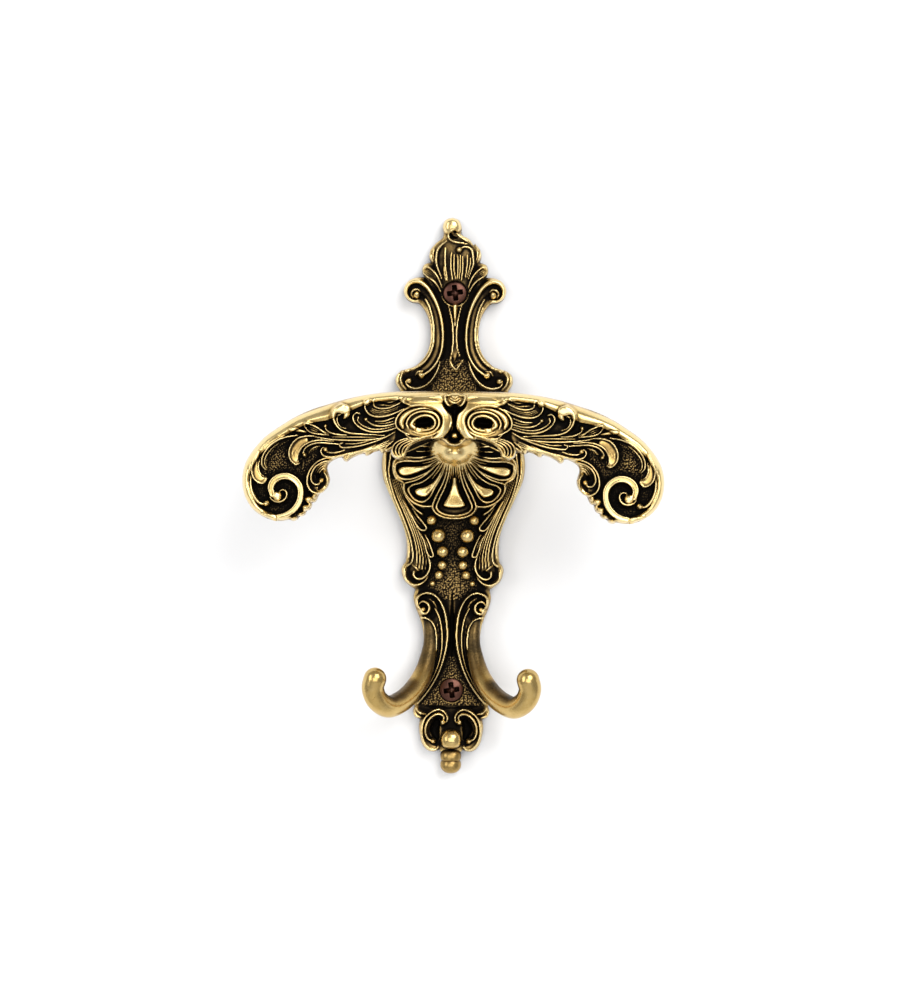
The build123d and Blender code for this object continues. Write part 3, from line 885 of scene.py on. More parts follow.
def carve_plate():
    """The plate's carved front."""
    relief = Relief(plate_outline(), 0.26, rim_wear_and_highlight=0.62, contrast=1.2)
    relief.set_body(PLATE_EDGE + (PLATE_GROUND - PLATE_EDGE) * round_edge(relief.edge / 1.3))
    # Painted highlight on the drafted edge and its outer line, over the wear there: the tone rises towards
    # the outline.
    relief.tone = 0.22 * (1 - step_up((relief.edge - 0.5) / 1.2)) + 0.34 * (1 - step_up(relief.edge / 0.5))
    carve_finial(relief)
    carve_upper_scrolls(relief)
    carve_waist(relief)
    carve_lower_scrolls(relief)
    carve_foot(relief)

    # Seats of both wall screws, with the thin rim that shows under each head
    for z, reach in ((SCREW_Z, 0.55), (-SCREW_Z, 0.3)):
        turns = np.linspace(-3.0, -0.14, 30)
        r = SCREW_HEAD_R + reach
        rim = [(r * math.cos(a), z + r * math.sin(a)) for a in turns]
        relief.rib(rim, 0.5, 0.7 if z > 0 else 0.35, mirror=False, foot=0)
        seat = np.hypot(relief.points[:, 0], relief.points[:, 1] - z) < SCREW_HEAD_R - 0.06
        relief.drop[seat] = SCREW_SEAT + relief.swell[seat] + relief.ribs[seat]
    x, z = np.abs(relief.points[:, 0]), relief.points[:, 1]
    flat = relief.bare_ground(1.0)
    relief.shade((relief.edge > 1.7) & (relief.swell < 0.1), -0.06)
    grainy = ((z > 32) & (z < 44) & (x < 7.5)) | ((z < -8) & (z > -36) & (x < 8)) | ((z < -55) & (z > -71))
    relief.shade((z < -8) & (z > -24) & (x < 9), -0.12)
    relief.pebbles(0.68, 0.24, flat & grainy, shine=0.27)
    return relief.finish(RECESS_DEPTH)


def plate_back(outline, hole):
    """Flat rim round the open back, from the wall to the recess floor."""
    outer = outline[::2]
    inner = smooth(hole, 1.0, closed=True)
    flat = [[Vector((x, z, 0)) for x, z in loop] for loop in (outer, inner)]
    count = len(outer) + len(inner)
    ring = np.vstack([outer, inner])
    wall_side = np.column_stack([ring[:, 0], np.zeros(count), ring[:, 1]])
    front_side = np.column_stack([ring[:, 0], np.full(count, -RECESS_DEPTH - 0.05), ring[:, 1]])
    faces = []
    for a, b, c in geometry.tessellate_polygon(flat):
        faces.append((a, b, c))
        faces.append((c + count, b + count, a + count))
    for start, size in ((0, len(outer)), (len(outer), len(inner))):
        for k in range(size):
            a = start + k
            b = start + (k + 1) % size
            faces.append((a, b, b + count, a + count))
    return np.vstack([wall_side, front_side]), faces, np.full(2 * count, 0.5)


def prong(side):
    """One lower prong: it grows out of the scroll, sweeps forward and up, and ends in a round tip."""
    stations = [
        (8.4, -4.4, -40.8, 1.0), (7.8, -5.3, -43.5, 1.6), (7.2, -6.1, -47, 2.05), (7.2, -6.7, -51, 2.3),
        (7.9, -7.9, -55, 2.6), (9.0, -9.6, -59, 2.9), (10.8, -12.3, -62.9, 3.2), (13.3, -16, -66.4, 3.4),
        (16.8, -21, -69.2, 3.55), (20.8, -26.2, -70.3, 3.6), (24.3, -30.4, -67.6, 3.6),
        (25.5, -32.2, -63.8, 3.65), (24.8, -33, -60.9, 3.7),
    ]
    line = smooth([(side * x, y, z, r) for x, y, z, r in stations], 0.55)
    tip, radius = line[-1, :3], line[-1, 3]
    heading = line[-1, :3] - line[-2, :3]
    heading /= np.linalg.norm(heading)
    turns = np.linspace(0.15, 1.5, 9)
    cap = tip + heading * radius * np.sin(turns)[:, None]
    path = np.vstack([line[:, :3], cap])
    radii = np.concatenate([line[:, 3], radius * np.cos(turns)])
    around = 36
    verts, faces = tube(path, radii, around)
    centre = np.repeat(path, around, axis=0)
    up = (verts - centre)[:, 2] / np.maximum(np.repeat(radii, around), 0.1)
    forward = step_up((-centre[:, 1] - 7) / 8)
    # Brighter further from the wall; the up-facing inside of the bend is darker, partly patina and partly
    # painted shade.
    bend_patina_and_shade = step_up((up - 0.15) / 0.6) * step_up((-63 - centre[:, 2]) / 3)
    return verts, faces, 0.4 + 0.42 * forward - 0.4 * bend_patina_and_shade


def build_plate():
    """Plate with its prongs, pearls and beads."""
    parts = [carve_plate(), plate_back(plate_outline(), recess_outline())]
    parts += [prong(1), prong(-1)]
    pearls = places("7 -9.6 1.7, 4.7 -14.7 2.4, 3.25 -20 2.0, 3.4 -24.5 1.6, 4.5 -27.8 1.5, 6.6 -30.6 0.95")
    for x, z, r in pearls:
        for side in (1, -1):
            parts.append(ball((x * side, -PLATE_GROUND - 0.75 * r, z), r, shine=0.95))
    parts.append(ball((0, -6.6, -82.2), (3.5, 3.6, 3.25), shine=0.85, square=2.35))
    parts.append(ball((0, -3.9, -87.9), (3.5, 3.4, 2.5), shine=0.66, square=2.5))
    parts.append(ball((0, -3.7, -90.9), (3.5, 3.3, 2.95), shine=0.66, square=2.1))
    build("wall_plate", parts, BRASS, "backplate")


# Hanger arm: bar with both wings, stem and shell

def bar_outline():
    """Outline of the bar with both wings, lobes and volutes."""
    left = [
        "0 32, -10 31.9, -20 31.6, -25 31, -30 30.2, -35 29, -40 27.5, -45 25.8, -50 23.6, -55 20.6, "
        "-60 17, -63 13.8, -65 11, -66.5 8, -67.3 4, -67 0, -66 -3, -64 -6, -61 -8.3, -58 -9.5, -55 -9.9, "
        "-52 -9.4",
        "-52 -9.4, -51 -9.9, -49.6 -9.4, -49 -8.3",
        "-49 -8.3, -48.2 -8.4, -47 -7.6, -46.7 -6.6",
        "-46.7 -6.6, -45.6 -6.2, -44.9 -4.6, -45 -3.9",
        "-45 -3.9, -44 -3.8, -43.2 -2.6, -42.6 -1.2, -41.4 -0.6",
        "-41.4 -0.6, -39.9 1.2, -39.3 3.4, -39.8 5.5, -40.2 7, -39.7 8.4, -38.4 9.5, -36.5 10.4, "
        "-35.4 10.6",
        "-35.4 10.6, -35 9.6, -34 9.2, -32.6 10.2, -30.6 11.2, -28.4 11.9",
        "-28.4 11.9, -28 11.2, -27.2 11.2, -25.6 12.2, -23.6 12.8",
        "-23.6 12.8, -22.8 12, -21.4 12.4, -20 12.6",
        "-20 12.6, -19.7 11.4, -18.4 10.3, -16.6 10.1, -15.4 10.8, -14.9 12.4, -13.4 14.6, -10.6 16, "
        "-7 16.7, -3.4 16, -2.2 15, 0.3 13.9",
    ]
    half = np.vstack([smooth(part)[:-1] for part in left])
    return np.vstack([half, [[0.3, 13.9]], half[::-1][:-1] * [-1, 1]])


def top_edge():
    """Upper edge that the plain rail follows, from wing end to wing end."""
    line = ("0 32, -10 31.9, -20 31.6, -30 30.2, -40 27.5, -50 23.6, -55 20.6, -60 17, -63 13.8, -65 11, "
            "-66.5 8, -67.3 4, -67 0, -66 -3, -64 -6, -61 -8.3, -58 -9.5")
    left = smooth(line, 0.6)
    return np.vstack([left[::-1], (left * [-1, 1])[1:]])


def carve_volute(relief):
    """End of each wing: the big spiral, the leaves round it and the beads beside it."""
    relief.rib("-61 -7.6 1.2, -58 -8.3 2, -54.6 -8.3 2.3, -51.4 -6.9 2.3, -49.2 -4.4 2.2, -48.4 -1.6 2.1, "
        "-48.7 1.2 2.2, -50.3 3.3 2.4, -52.6 4.4 2.5, -55 4.2 2.6, -57 2.9 2.7, -57.9 0.8 2.5, "
        "-57.4 -1.4 2.2", 0, 1.9, section="band", ends=(0.5, 0.9), tone=0.03)
    relief.rib("-58.4 -1.4, -57.6 -3, -55.9 -3.8, -54 -3.4, -52.9 -2.1, -52.9 -0.7, -53.9 0.1, -55 -0.2",
        0.85, 1.7)
    relief.knob(-55.8, -1.9, 1.75, 2.6)
    relief.rib("-49.6 17.4, -53.5 16.7, -57 14.9, -59.6 12.4, -60.8 9.8, -60.7 7.7, -59.6 6.4", 0.8, 1.7)
    relief.rib("-55.4 15, -58 12.8, -59.7 10.2, -59.9 8, -59.3 6.8", 0.5, 1.0)
    relief.pad("-61.6 12.2, -63.2 9.4, -63.9 6, -63.2 3.6, -61.6 2.2, -59.7 2.4, -59.2 3.8, -60.6 4.4, "
        "-61.7 6.2, -62 9", 1.0, bevel=0.6, tone=0.2)
    relief.rib("-61.9 12.6, -63.4 9.4, -64 6, -63.3 3.6, -61.6 2.2, -60.2 2.2, -59.3 3.4, -59.7 4.3", 0.6,
        1.5)
    relief.rib("-61.5 10, -61.9 7, -61.1 5, -59.9 4.2", 0.5, 1.3)
    relief.rib("-64.3 5 0.6, -64.2 1 1.1, -63.2 -2 1.5, -61.5 -4.1 1.8, -59.6 -4.7 1.7", 0, 1.5, tone=0.1)
    relief.knob(-59.2, -4.2, 1.2, 2.0)
    relief.pad("-46.6 16.9, -49.4 16.2, -51.2 14.5, -52.1 12.2, -51.9 10.2, -50.9 8.7, -49.4 8.2, "
        "-49.3 10, -49 12, -48 13.8, -46 15.4", 0.9, bevel=0.6, tone=0.16)
    relief.rib("-44 17.2, -46.8 17.2, -49.5 16.4, -51.3 14.6, -52.2 12.2, -52 10.2, -51 8.7, -49.8 8.1, "
        "-48.8 8.7", 0.65, 1.6)
    relief.veins("-50.9 13.2, -51.2 11.6, -50.8 10", "-49.6 13.4, -50.2 11.8, -50 10", 2, 0.4, 1.25)
    relief.rib("-38 15.6, -42.6 15.9, -45.6 15.3, -47.9 13.9, -49.1 12, -49.5 10.2, -49.2 8.9", 0.6, 1.5)
    relief.rib("-36.6 14.7, -40.4 15, -43.4 15, -45.9 14.2, -47.4 12.8, -47.7 11.4, -46.9 10.7", 0.65, 1.6)
    relief.knob(-47.2, 11.2, 0.8, 1.9)
    relief.rib("-42 14.2, -44.6 13.4, -46 12", 0.45, 0.8)
    relief.rib("-33.4 11.8, -37 10.8, -39.8 10.6, -41.6 11.3, -42.1 12.6, -41.4 13.6, -40.3 13.4", 0.7, 1.7)
    relief.knob(-40.6, 13, 0.85, 1.9)
    relief.rib("-34.4 12.9, -37 12.1, -39.2 12, -40.6 12.3", 0.5, 1.2)
    relief.pad("-52.6 19.2, -51 19.9, -48 19.3, -46.4 18.3, -48.6 18.2, -51.4 18.5", 1.1, bevel=0.6,
        tone=0.15)
    relief.rib("-47.4 20, -47.2 21.2, -45.6 20.9, -43.5 20, -41.8 18.8, -40.4 17.7", 0.6, 1.5)
    relief.rib("-47.3 20.4, -46.4 19, -44.8 18.2, -42.4 17.8, -39.6 17.5", 0.55, 1.4)
    relief.veins("-46 20.1, -44.2 19.5, -42.2 18.4", "-46 19.6, -44.4 18.9, -42.4 18.2", 2, 0.4, 0.9)
    relief.knob(-40.7, 20.5, 0.75, 1.6)
    relief.rib("-41 20.2, -40.4 19.2, -39 18.3, -37 17.8, -34 17.6", 0.6, 1.4)
    relief.rib("-42.2 19.6, -41.2 18.6, -39.4 17.9", 0.5, 1.0)

    # Lower scroll with its beads
    relief.rib("-37.6 10.4, -40.4 10.2, -43 9.2, -45 7.2, -46.2 4.6, -46.3 2, -45.4 0.1, -43.8 -0.8, "
        "-42 -0.6, -40.6 0.6, -39.9 2.6, -40.3 4.6, -41 5.6", 0.75, 1.7)
    relief.rib("-38.8 9.6, -41.6 8.9, -43.8 7.4, -45 5.2, -45.1 3.2, -44.2 2, -42.9 1.9, -42 2.8", 0.7, 1.6)
    relief.veins("-40 8.8, -42.4 7.8, -43.8 6", "-40.2 7.4, -41.6 6.8, -42.6 5.6", 3, 0.45, 0.8)
    relief.knob(-42, 3.2, 0.9, 1.8)
    relief.cut("-43.2 4.4, -42.8 4.9", 1.4, 0.8, (0.8, 0.8))
    beads = places("-45.9 -3 1.35, -46.9 -5.6 1.2, -48.4 -7.8 1.0, -50.4 -9 0.8, -44.2 -1.9 0.8")
    for x, z, r in beads:
        relief.knob(x, z, r, 2.0)
    relief.knob(-45.2, -4.6, 0.8, 1.3)


def carve_inner_leaves(relief):
    """Leaves between the wing's scrolls and the middle."""
    relief.mound("-16 23, -22 22.4, -28 20.5, -34 18, -42 16", 8, 0.8, (1, 0.3))

    # Scroll that rises into the top rail
    relief.pad("-38.3 24.6, -37.4 26.8, -35.2 27.6, -33.2 26.6, -32.7 24.6, -33.6 22.9, -35.2 22.6, "
        "-35.4 24.2, -36.8 24.6", 2.1, bevel=1.1, tone=0.35)
    relief.rib("-36 27 1.4, -37.6 25.6 1.6, -38.2 23.4 1.3, -37.6 21.2 1, -36 19.4 0.8, -33.6 18.4 0.7, "
        "-30 18 0.6, -26 17.8 0.5, -22 17.6 0.4", 0, 1.7, ends=(0.8, 0.5), tone=0.1)
    relief.rib("-35.6 24.3, -36.9 23.4, -37 21.8, -36 20.3, -34.2 19.6", 0.5, 1.2)

    relief.rib("-15.4 29.2, -18 27.5, -21 26.3, -23.8 26.2, -25.4 27, -25.6 28.4", 0.6, 1.4)
    relief.rib("-15.8 26.2, -19 24.6, -22 23.7, -25 23.6, -27.1 24.5, -28.2 26.2, -28.2 28", 0.75, 1.8)
    relief.knob(-27.6, 28, 1.2, 1.6)
    relief.veins("-17.6 26.8, -20.6 25.6, -23.6 25.3, -26 26", "-18.4 25.3, -21.4 24.4, -24.6 24.3, "
        "-26.6 25.4", 3, 0.4, 0.9)
    relief.veins("-17.4 29.4, -20 28.2, -22.6 28.4", "-16.6 28.8, -20 27.2, -23.8 27.4", 2, 0.4, 0.7)
    relief.rib("-18.8 23.4, -22 22.2, -25 22.1", 0.6, 1.2)
    relief.rib("-18.7 21.4, -22 20.6, -25.2 20.8, -27.2 21.9, -28 22.9", 0.65, 1.5)
    relief.knob(-27.9, 22.7, 0.7, 1.7)
    relief.rib("-18.5 22.3, -22 21.4, -24.6 21.5", 0.4, 0.8)
    relief.rib("-18.4 20, -22 18.9, -26 18.7, -29.4 19.8, -31.6 21.8, -32 23.5, -31 24.7, -29.8 24.4", 0.7,
        1.7)
    relief.rib("-19 20.6, -22.4 19.7, -26 19.6, -28.8 20.6, -30.5 22.2, -30.3 23.4", 0.5, 1.2)
    relief.rib("-18.6 18.8, -22 17, -28 16.1, -34 16, -40 16.3, -44 17", 0.6, 1.6)
    relief.rib("-24 16.9, -29 17, -34 17, -38.6 17", 0.45, 1.0)
    relief.rib("-21.4 17, -26 15.3, -30 14.2, -33.6 13.7, -35.8 13.8, -36.3 14.6, -35.2 15.1", 0.65, 1.6)
    relief.rib("-23 16.9, -27 15.8, -31 14.9, -34.4 14.8", 0.5, 1.1)
    relief.veins("-24.6 14.8, -29 12.9, -33 11.9, -36.6 11.2", "-23.4 14.4, -28 12.4, -31.6 11.2, "
        "-34.2 9.9", 4, 0.5, 1.1)
    relief.veins("-20.6 15.9, -23.6 14.6, -27 12.6", "-20 14.9, -23.4 13.6, -26.8 11.8", 3, 0.5, 1.1)
    relief.veins("-19.2 15.8, -20.8 14.6, -22.4 12.8", "-18.8 14.6, -20 13.8, -21.4 12.8", 2, 0.5, 1.0)


def carve_eyes(relief):
    """Oval scrolls on both sides of the middle, their rings, and the fans under them."""
    relief.mound("-9.8 21.8, -9 21.9", 16, 1.5, (1, 1))
    relief.rib("-12.4 20.1 1.2, -13.4 20.9 1.4, -12.8 22.4 1, -11 23.7 0.8, -8.8 24.1 0.8, -6.8 23.4 0.8, "
        "-5.9 21.9 0.8, -6.4 20.4 0.8, -8 19.6 0.8, -10 19.4 0.8", 0, 1.5, ends=(0.9, 0.7), tone=0.14)
    relief.rib("-14.4 19.8, -15 21.5, -13.8 23.8, -11.5 25.1, -8.8 25.4, -6 24.6, -4.7 22.8, -4.8 20.8, "
        "-6.2 19.2, -8.5 18.4, -11 18.3, -13 19", 1.05, 1.0, tone=0.1)
    relief.rib("-14.2 17.9, -16.6 19, -18.2 20.4, -18.4 22.4, -17 24.8, -14.2 26.6, -10.6 27.1, -7 26.6, "
        "-4.5 25.1, -3.4 22.9, -3.8 20.6, -5.4 18.7, -7.8 17.6, -10.2 17.2", 1.15, 1.1, tone=0.1)
    relief.rib("-16.2 20.2 1.2, -16.7 21.6 2, -16.1 23.4 2.1, -14.4 25 1.6, -12 26 1, -9 26.3 0.6, "
        "-6.4 25.7 0.5", 0, 1.3, ends=(0.9, 0.5), tone=0.2)
    relief.cut("-10.7 21.6, -8.1 21.9", 3.5, 4.4, (0.95, 0.95))
    relief.rib("-15.9 18.6, -14.2 17.1, -12 16.7, -9 17.1", 0.5, 1.2)

    # Plain bright slope between the ovals and the middle groove
    relief.fill("-17 28.2, -13 30, -8 30.6, -4 30.6, -3.2 27.8, -1.9 25.9, -0.4 24.2, -0.3 21, -1.3 18.8, "
        "-3 17, -8 16.2, -5.6 18.4, -4.1 20.4, -3.7 23, -4.8 25, -7.2 26.5, -10.6 27, -14 26.6", 54.9, 0.17,
        soft=0.7)
    relief.veins("-11.6 17, -15.8 16.5, -18.7 15, -19.5 12.8, -18.6 11.1, -16.9 10.6", "-10.4 16.3, "
        "-12.8 15, -14.6 13.8, -15.4 12.6, -15.6 11.7, -15.9 11.1", 5, 0.55, 1.3)


def carve_keystone(relief):
    """Small fan at the top of the middle, with the drop and the lip under it."""
    middle = KEYSTONE_X
    fan = "-3.1 30.5, -3 28.8, -1.9 27.3, 0 26.7, 1.9 27.3, 3 28.8, 3.1 30.5, 0 30.7"
    relief.hollow(shifted(fan, middle), 0.2, 0.3, soft=0.3, mirror=False)
    under = "-3.8 28.6, -2.9 26.7, -1.2 25.5, 0 25.2, 1.2 25.5, 2.9 26.7, 3.8 28.6"
    relief.cut(shifted(under, middle), 1.3, 1.2, mirror=False)
    rim = "-1.6 30.6, -2.9 30.4, -3.1 29.2, -2.2 27.5, 0 26.7, 2.2 27.5, 3.1 29.2, 2.9 30.4, 1.6 30.6"
    relief.rib(shifted(rim, middle), 0.8, 1.3, ends=(0.8, 0.8), mirror=False, foot=0)
    for half, z in ((1.9, 28.0), (1.4, 28.9), (0.8, 29.7)):
        arc = [(-half, z + half / 1.9), (0, z), (half, z + half / 1.9)]
        relief.rib(shifted(arc, middle), 0.5, 0.8, ends=(0.8, 0.8), mirror=False, foot=0)
    groove = "0 25.8 4.0, 0 24.4 2.0, 0 22.4 1.5, 0 20.6 2.0, 0 18.8 3.6, 0 17.2 4.2"
    relief.cut(shifted(groove, middle), 0, 2.2, (1, 1), mirror=False)
    for side in (-1, 1):
        drop = [(side * 0.5, 22.6), (side * 0.6, 20.6), (side * 1.3, 18.6)]
        relief.rib(shifted(drop, middle), 0.5, 1.3, mirror=False)
    relief.knob(middle, 17.8, 1.35, 3.4, mirror=False)
    lip = "-2.9 16.6, -2 15.4, 0 14.7, 2 15.4, 2.9 16.6"
    relief.rib(shifted(lip, middle), 0.8, 1.8, mirror=False, tone=0.1)


def carve_bar():
    """The bar's carved front."""
    relief = Relief(bar_outline(), 0.21, rim_wear_and_highlight=0.68)
    from_top, place = along(relief.points, top_edge())
    wing = np.abs(place - 0.5) * 2
    widths = ("0 4.8, 0.14 4.5, 0.19 2.7, 0.28 2.7, 0.35 4.0, 0.44 4.8, 0.5 3.9, 0.6 3.5, 0.72 2.8, "
              "0.85 2.3, 1 2.1")
    band = np.interp(wing, *zip(*places(widths)))
    t = from_top / band
    rail = BAR_MIDDLE + 5.8 * round_edge(t / 0.75) - 0.5 * step_up((t - 0.75) / 0.25)
    leafy = BAR_MIDDLE + (BAR_GROUND - BAR_MIDDLE) * round_edge(relief.edge / 0.9)
    inner = step_up((from_top - band) / 0.3)
    relief.set_body(rail * (1 - inner) + leafy * inner)
    rail_tone = 0.14 - 0.08 * step_up((t - 0.5) / 0.5)
    # The last term is a painted highlight along the outline, over the wear of the edge.
    relief.tone = rail_tone * (1 - inner) + 0.2 * (1 - step_up(relief.edge / 0.5))
    for body, rise, tone in (
        ("-48 18, -54 17.4, -58.6 14.8, -62 11.4, -64.2 7, -63.6 3, -61 1.8, -59 3.2, -59.4 7.4, -57.6 12, "
         "-53 14.8", 0.6, 0.16),
        ("-44 17.6, -49.4 16.8, -52.6 12.6, -51.8 8.6, -49 8, -47.6 10.4, -44.6 13.2, -40 14.4, -36 15, "
         "-38 17", 0.6, 0.16),
        ("-46 17.2, -38 17.8, -30 18, -23 18.4, -18 20, -18 15.4, -20.4 13, -24.4 12, -29 11.6, -34 9.6, "
         "-37.4 10.8, -36.4 12.8, -38.6 14.6, -42.6 15.4", 0.7, 0.15),
        ("-15 29.4, -20 28, -25.6 28.6, -28.6 28, -28.2 24.8, -24.6 23, -20 23.2, -15.8 25.6", 0.6, 0.17),
        ("-18 23.4, -24 22.6, -28.4 23.4, -30 24.8, -32.2 24, -32 21, -29 18.8, -24 17.8, -18 18.8", 0.6,
         0.15),
        ("-33 11.4, -38 10.2, -42 10.8, -42.6 13.2, -40.6 14.2, -38 13.4, -34.4 13.6", 0.5, 0.16),
        ("-37.4 10.8, -42 10.2, -45.8 7.2, -46.8 3, -45.6 -0.4, -43.6 -1.2, -42.4 1, -44.2 3, -44 6, "
         "-41.6 8, -38.2 8.8", 0.5, 0.16),
        ("-16.4 18.6, -18.6 21.4, -17 25, -14 26.8, -10.5 27.3, -7 26.8, -4.2 25, -3.2 22.8, -3.8 20, "
         "-6 18, -9 17.2, -12.6 17.4", 0.6, 0.5),
    ):
        relief.leaf(body, rise, tone)
    carve_volute(relief)
    carve_inner_leaves(relief)
    carve_eyes(relief)
    carve_keystone(relief)
    flat = relief.bare_ground(0.8) & (inner > 0.98)
    relief.shade((inner > 0.98) & (relief.swell < 0.1), -0.12)
    relief.pebbles(0.62, 0.26, flat & (np.abs(relief.points[:, 0]) > 43))
    top = BAR_RELIEF_TOP
    high = relief.heights()
    relief.cuts += np.where(high > top - 0.5, (high - top + 0.5) * 0.75, 0)
    return relief.finish(BAR_SEAM)


def bar_back():
    """Plain rounded back of the bar, turned about the bar's middle plane."""
    relief = Relief(bar_outline(), 0.6)
    relief.set_body(BAR_MIDDLE + (BAR_MIDDLE - BAR_BACK) * round_edge(relief.edge / 3.2))
    verts, faces, shine = relief.finish(BAR_SEAM)
    verts[:, 1] = -2 * BAR_MIDDLE - verts[:, 1]
    return verts, faces, np.full(len(shine), 0.5)


def shell_outline():
    """Outline of the shell's five lobes."""
    left = [
        "0 18, -5 17.6, -10 15.8, -15 13.6, -18.8 12, -20.6 9.6, -20.7 6.6, -19.6 4, -17.6 2.6",
        "-17.6 2.6, -17.2 0.4, -15.9 -2.2, -13.4 -4.4, -10.2 -5.7, -7.8 -5.5",
        "-7.8 -5.5, -6.6 -7.5, -4 -9, 0 -9.6",
    ]
    half = np.vstack([smooth(part)[:-1] for part in left])
    return np.vstack([half, [[0, -9.6]], half[::-1][:-1] * [-1, 1]]) + [SHELL_X, 0]


def carve_shell():
    """Shell that is the arm's foot, with the boss that the stem grows out of."""
    relief = Relief(shell_outline(), 0.23)
    x = np.abs(relief.points[:, 0] - SHELL_X)
    z = relief.points[:, 1]
    r = np.hypot(x * 0.95, z - 12.5)
    dome = np.hypot(x / 7.4, (z - 13.2) / 5.6)
    rise = (7.8 * np.exp(-((r / 6.2) ** 2))) ** 4 + (9.2 * np.exp(-1.1 * dome ** 2.6)) ** 4
    flare = 8.3 + rise ** 0.25 + 0.9 * step_up((r - 13) / 6)
    relief.set_body(5.4 + (flare - 5.4) * round_edge(relief.edge / 0.7))
    # Painted shade: the upper field beside the dome, under the bar, is sunk and painted dark; the edge term
    # below is a painted highlight over the edge's wear.
    painted_shade_under_bar = step_up((z - 10.6) / 1.5) * step_up((x - 6) / 2.5)
    painted_shade_under_bar *= step_up((dome - 1) / 0.35)
    relief.body = relief.body * (1 - painted_shade_under_bar) + 6.4 * painted_shade_under_bar
    relief.tone = 0.26 * (1 - painted_shade_under_bar) + 0.4 * (1 - step_up(relief.edge / 0.5))

    # Tongues of the five lobes
    middle_tongue = ("-0.45 4.6, -0.9 2.4, -1.9 -0.8, -3.5 -3.8, -3.7 -4.7, -2.4 -5.3, 0 -5.5, 2.4 -5.3, "
                     "3.7 -4.7, 3.5 -3.8, 1.9 -0.8, 0.9 2.4, 0.45 4.6")
    relief.pad(shifted(middle_tongue, SHELL_X), 1.5, bevel=0.7, tone=0.42, mirror=False)
    for tongue, rise, tone in (
        ("-4.3 6.8, -6.6 3.8, -9.2 1.8, -12.2 1, -13.2 0.2, -12.9 -0.9, -11.4 -1.8, -9.4 -1.9, -8 -0.8, "
         "-6.2 1.9, -4.6 5", 1.5, 0.42),
        ("-7 9.4, -9.4 8.6, -13 8.3, -17.2 8.1, -18.6 7.3, -18.5 5.9, -17.2 5, -15.2 5.1, -11.8 6.2, "
         "-8.6 7.8", 1.4, 0.36),
    ):
        relief.pad(shifted(tongue, SHELL_X), rise, bevel=0.7, tone=tone, middle=SHELL_X)

    # Rim ridges round the tongues, outer rims, and the ribs between the lobes
    strokes = [
        ("0 -8, -2.6 -7.7, -4.9 -6.7, -5.9 -5.2, -5 -2.6, -3.2 1.4, -2 5.4, -1.6 8.6", 0.55, 1.6),
        ("0 -9, -3.4 -8.6, -6.2 -7.1, -7.2 -5.2, -6.2 -2, -4.2 2, -2.8 5.8, -2.3 9", 0.6, 1.5),
        ("-2.9 9, -4.4 5, -6.6 1, -8.4 -2.2, -10.4 -3.5, -12.8 -2.9, -14.6 -1, -15.2 0.7, -14 1.9, "
         "-11 2.9, -8 5, -5.2 8.4", 0.55, 1.6),
        ("-3.4 9.2, -5.1 5, -7.2 1.2, -8.8 -0.4", 0.4, 0.9),
        ("-7.4 -4.9, -10.2 -5, -13.2 -4, -15.6 -1.8, -16.8 0.6, -16.6 2.4", 0.7, 1.5),
        ("-16.4 2.6, -12 4, -8.4 6.4, -5.6 9.2", 0.55, 1.3),
        ("-5.2 9.6, -8 7, -11.6 5, -15.6 3.9, -18.4 4.6, -19.6 6.6, -19.5 8.8, -17.6 9.8, -12.2 9.9, "
         "-8.4 10.7, -6 11.6", 0.55, 1.6),
        ("-17.2 3, -19.4 4.2, -20.3 6.8, -20.1 9.6, -18.4 11.4", 0.6, 1.2),
        ("-6.2 12.4, -9 11.6, -12.6 11.2, -16 11.4", 0.5, 1.0),
        ("-6.6 13.4, -9.6 13.2, -12.6 13.2", 0.45, 0.7),
        ("-6.6 14.4, -9 14.8, -11.4 15", 0.45, 0.7),
        ("-1 9, -1.2 6.4, -1.8 3", 0.4, 0.8),
        ("-3.8 9.4, -5.8 6.6, -7.4 4.2", 0.4, 0.8),
        ("-4.6 9.8, -7 8, -9.4 7", 0.4, 0.8),
    ]
    for points, width, rise in strokes:
        for line in (points, mirrored(points)):
            relief.rib(shifted(line, SHELL_X), width, rise, ends=(0.7, 0.7), mirror=False, foot=1.1)
    for first, last in (
        ("-0.3 9.2, -0.4 6.6, -0.6 4.2", "-1.7 9.2, -2.2 6, -3 2.6"),
        ("-2.4 9.4, -3.2 6.4, -4.6 3", "-4.4 9.8, -6.2 7.2, -8.6 4.8"),
        ("-4.8 10.2, -7.4 8.4, -10 7.4", "-5.6 11.4, -8.4 10.4, -11.4 10"),
    ):
        for sides in ((first, last), (mirrored(first), mirrored(last))):
            guides = [shifted(guide, SHELL_X) for guide in sides]
            relief.veins(*guides, 4, 0.45, 0.9, ends=(0.8, 0.4), mirror=False)
    # Painted shade under the bar, over the upper field.
    relief.shade(painted_shade_under_bar > 0.5, -0.3)
    # The bare dome is brightened: partly polish on the smooth boss, partly a painted highlight.
    bare = 1 - step_up((dome - 0.72) / 0.4)
    relief.ribs *= 1 - bare
    relief.swell *= 1 - bare
    relief.tone += 0.5 * bare
    return relief.finish(PLATE_GROUND - 0.3)


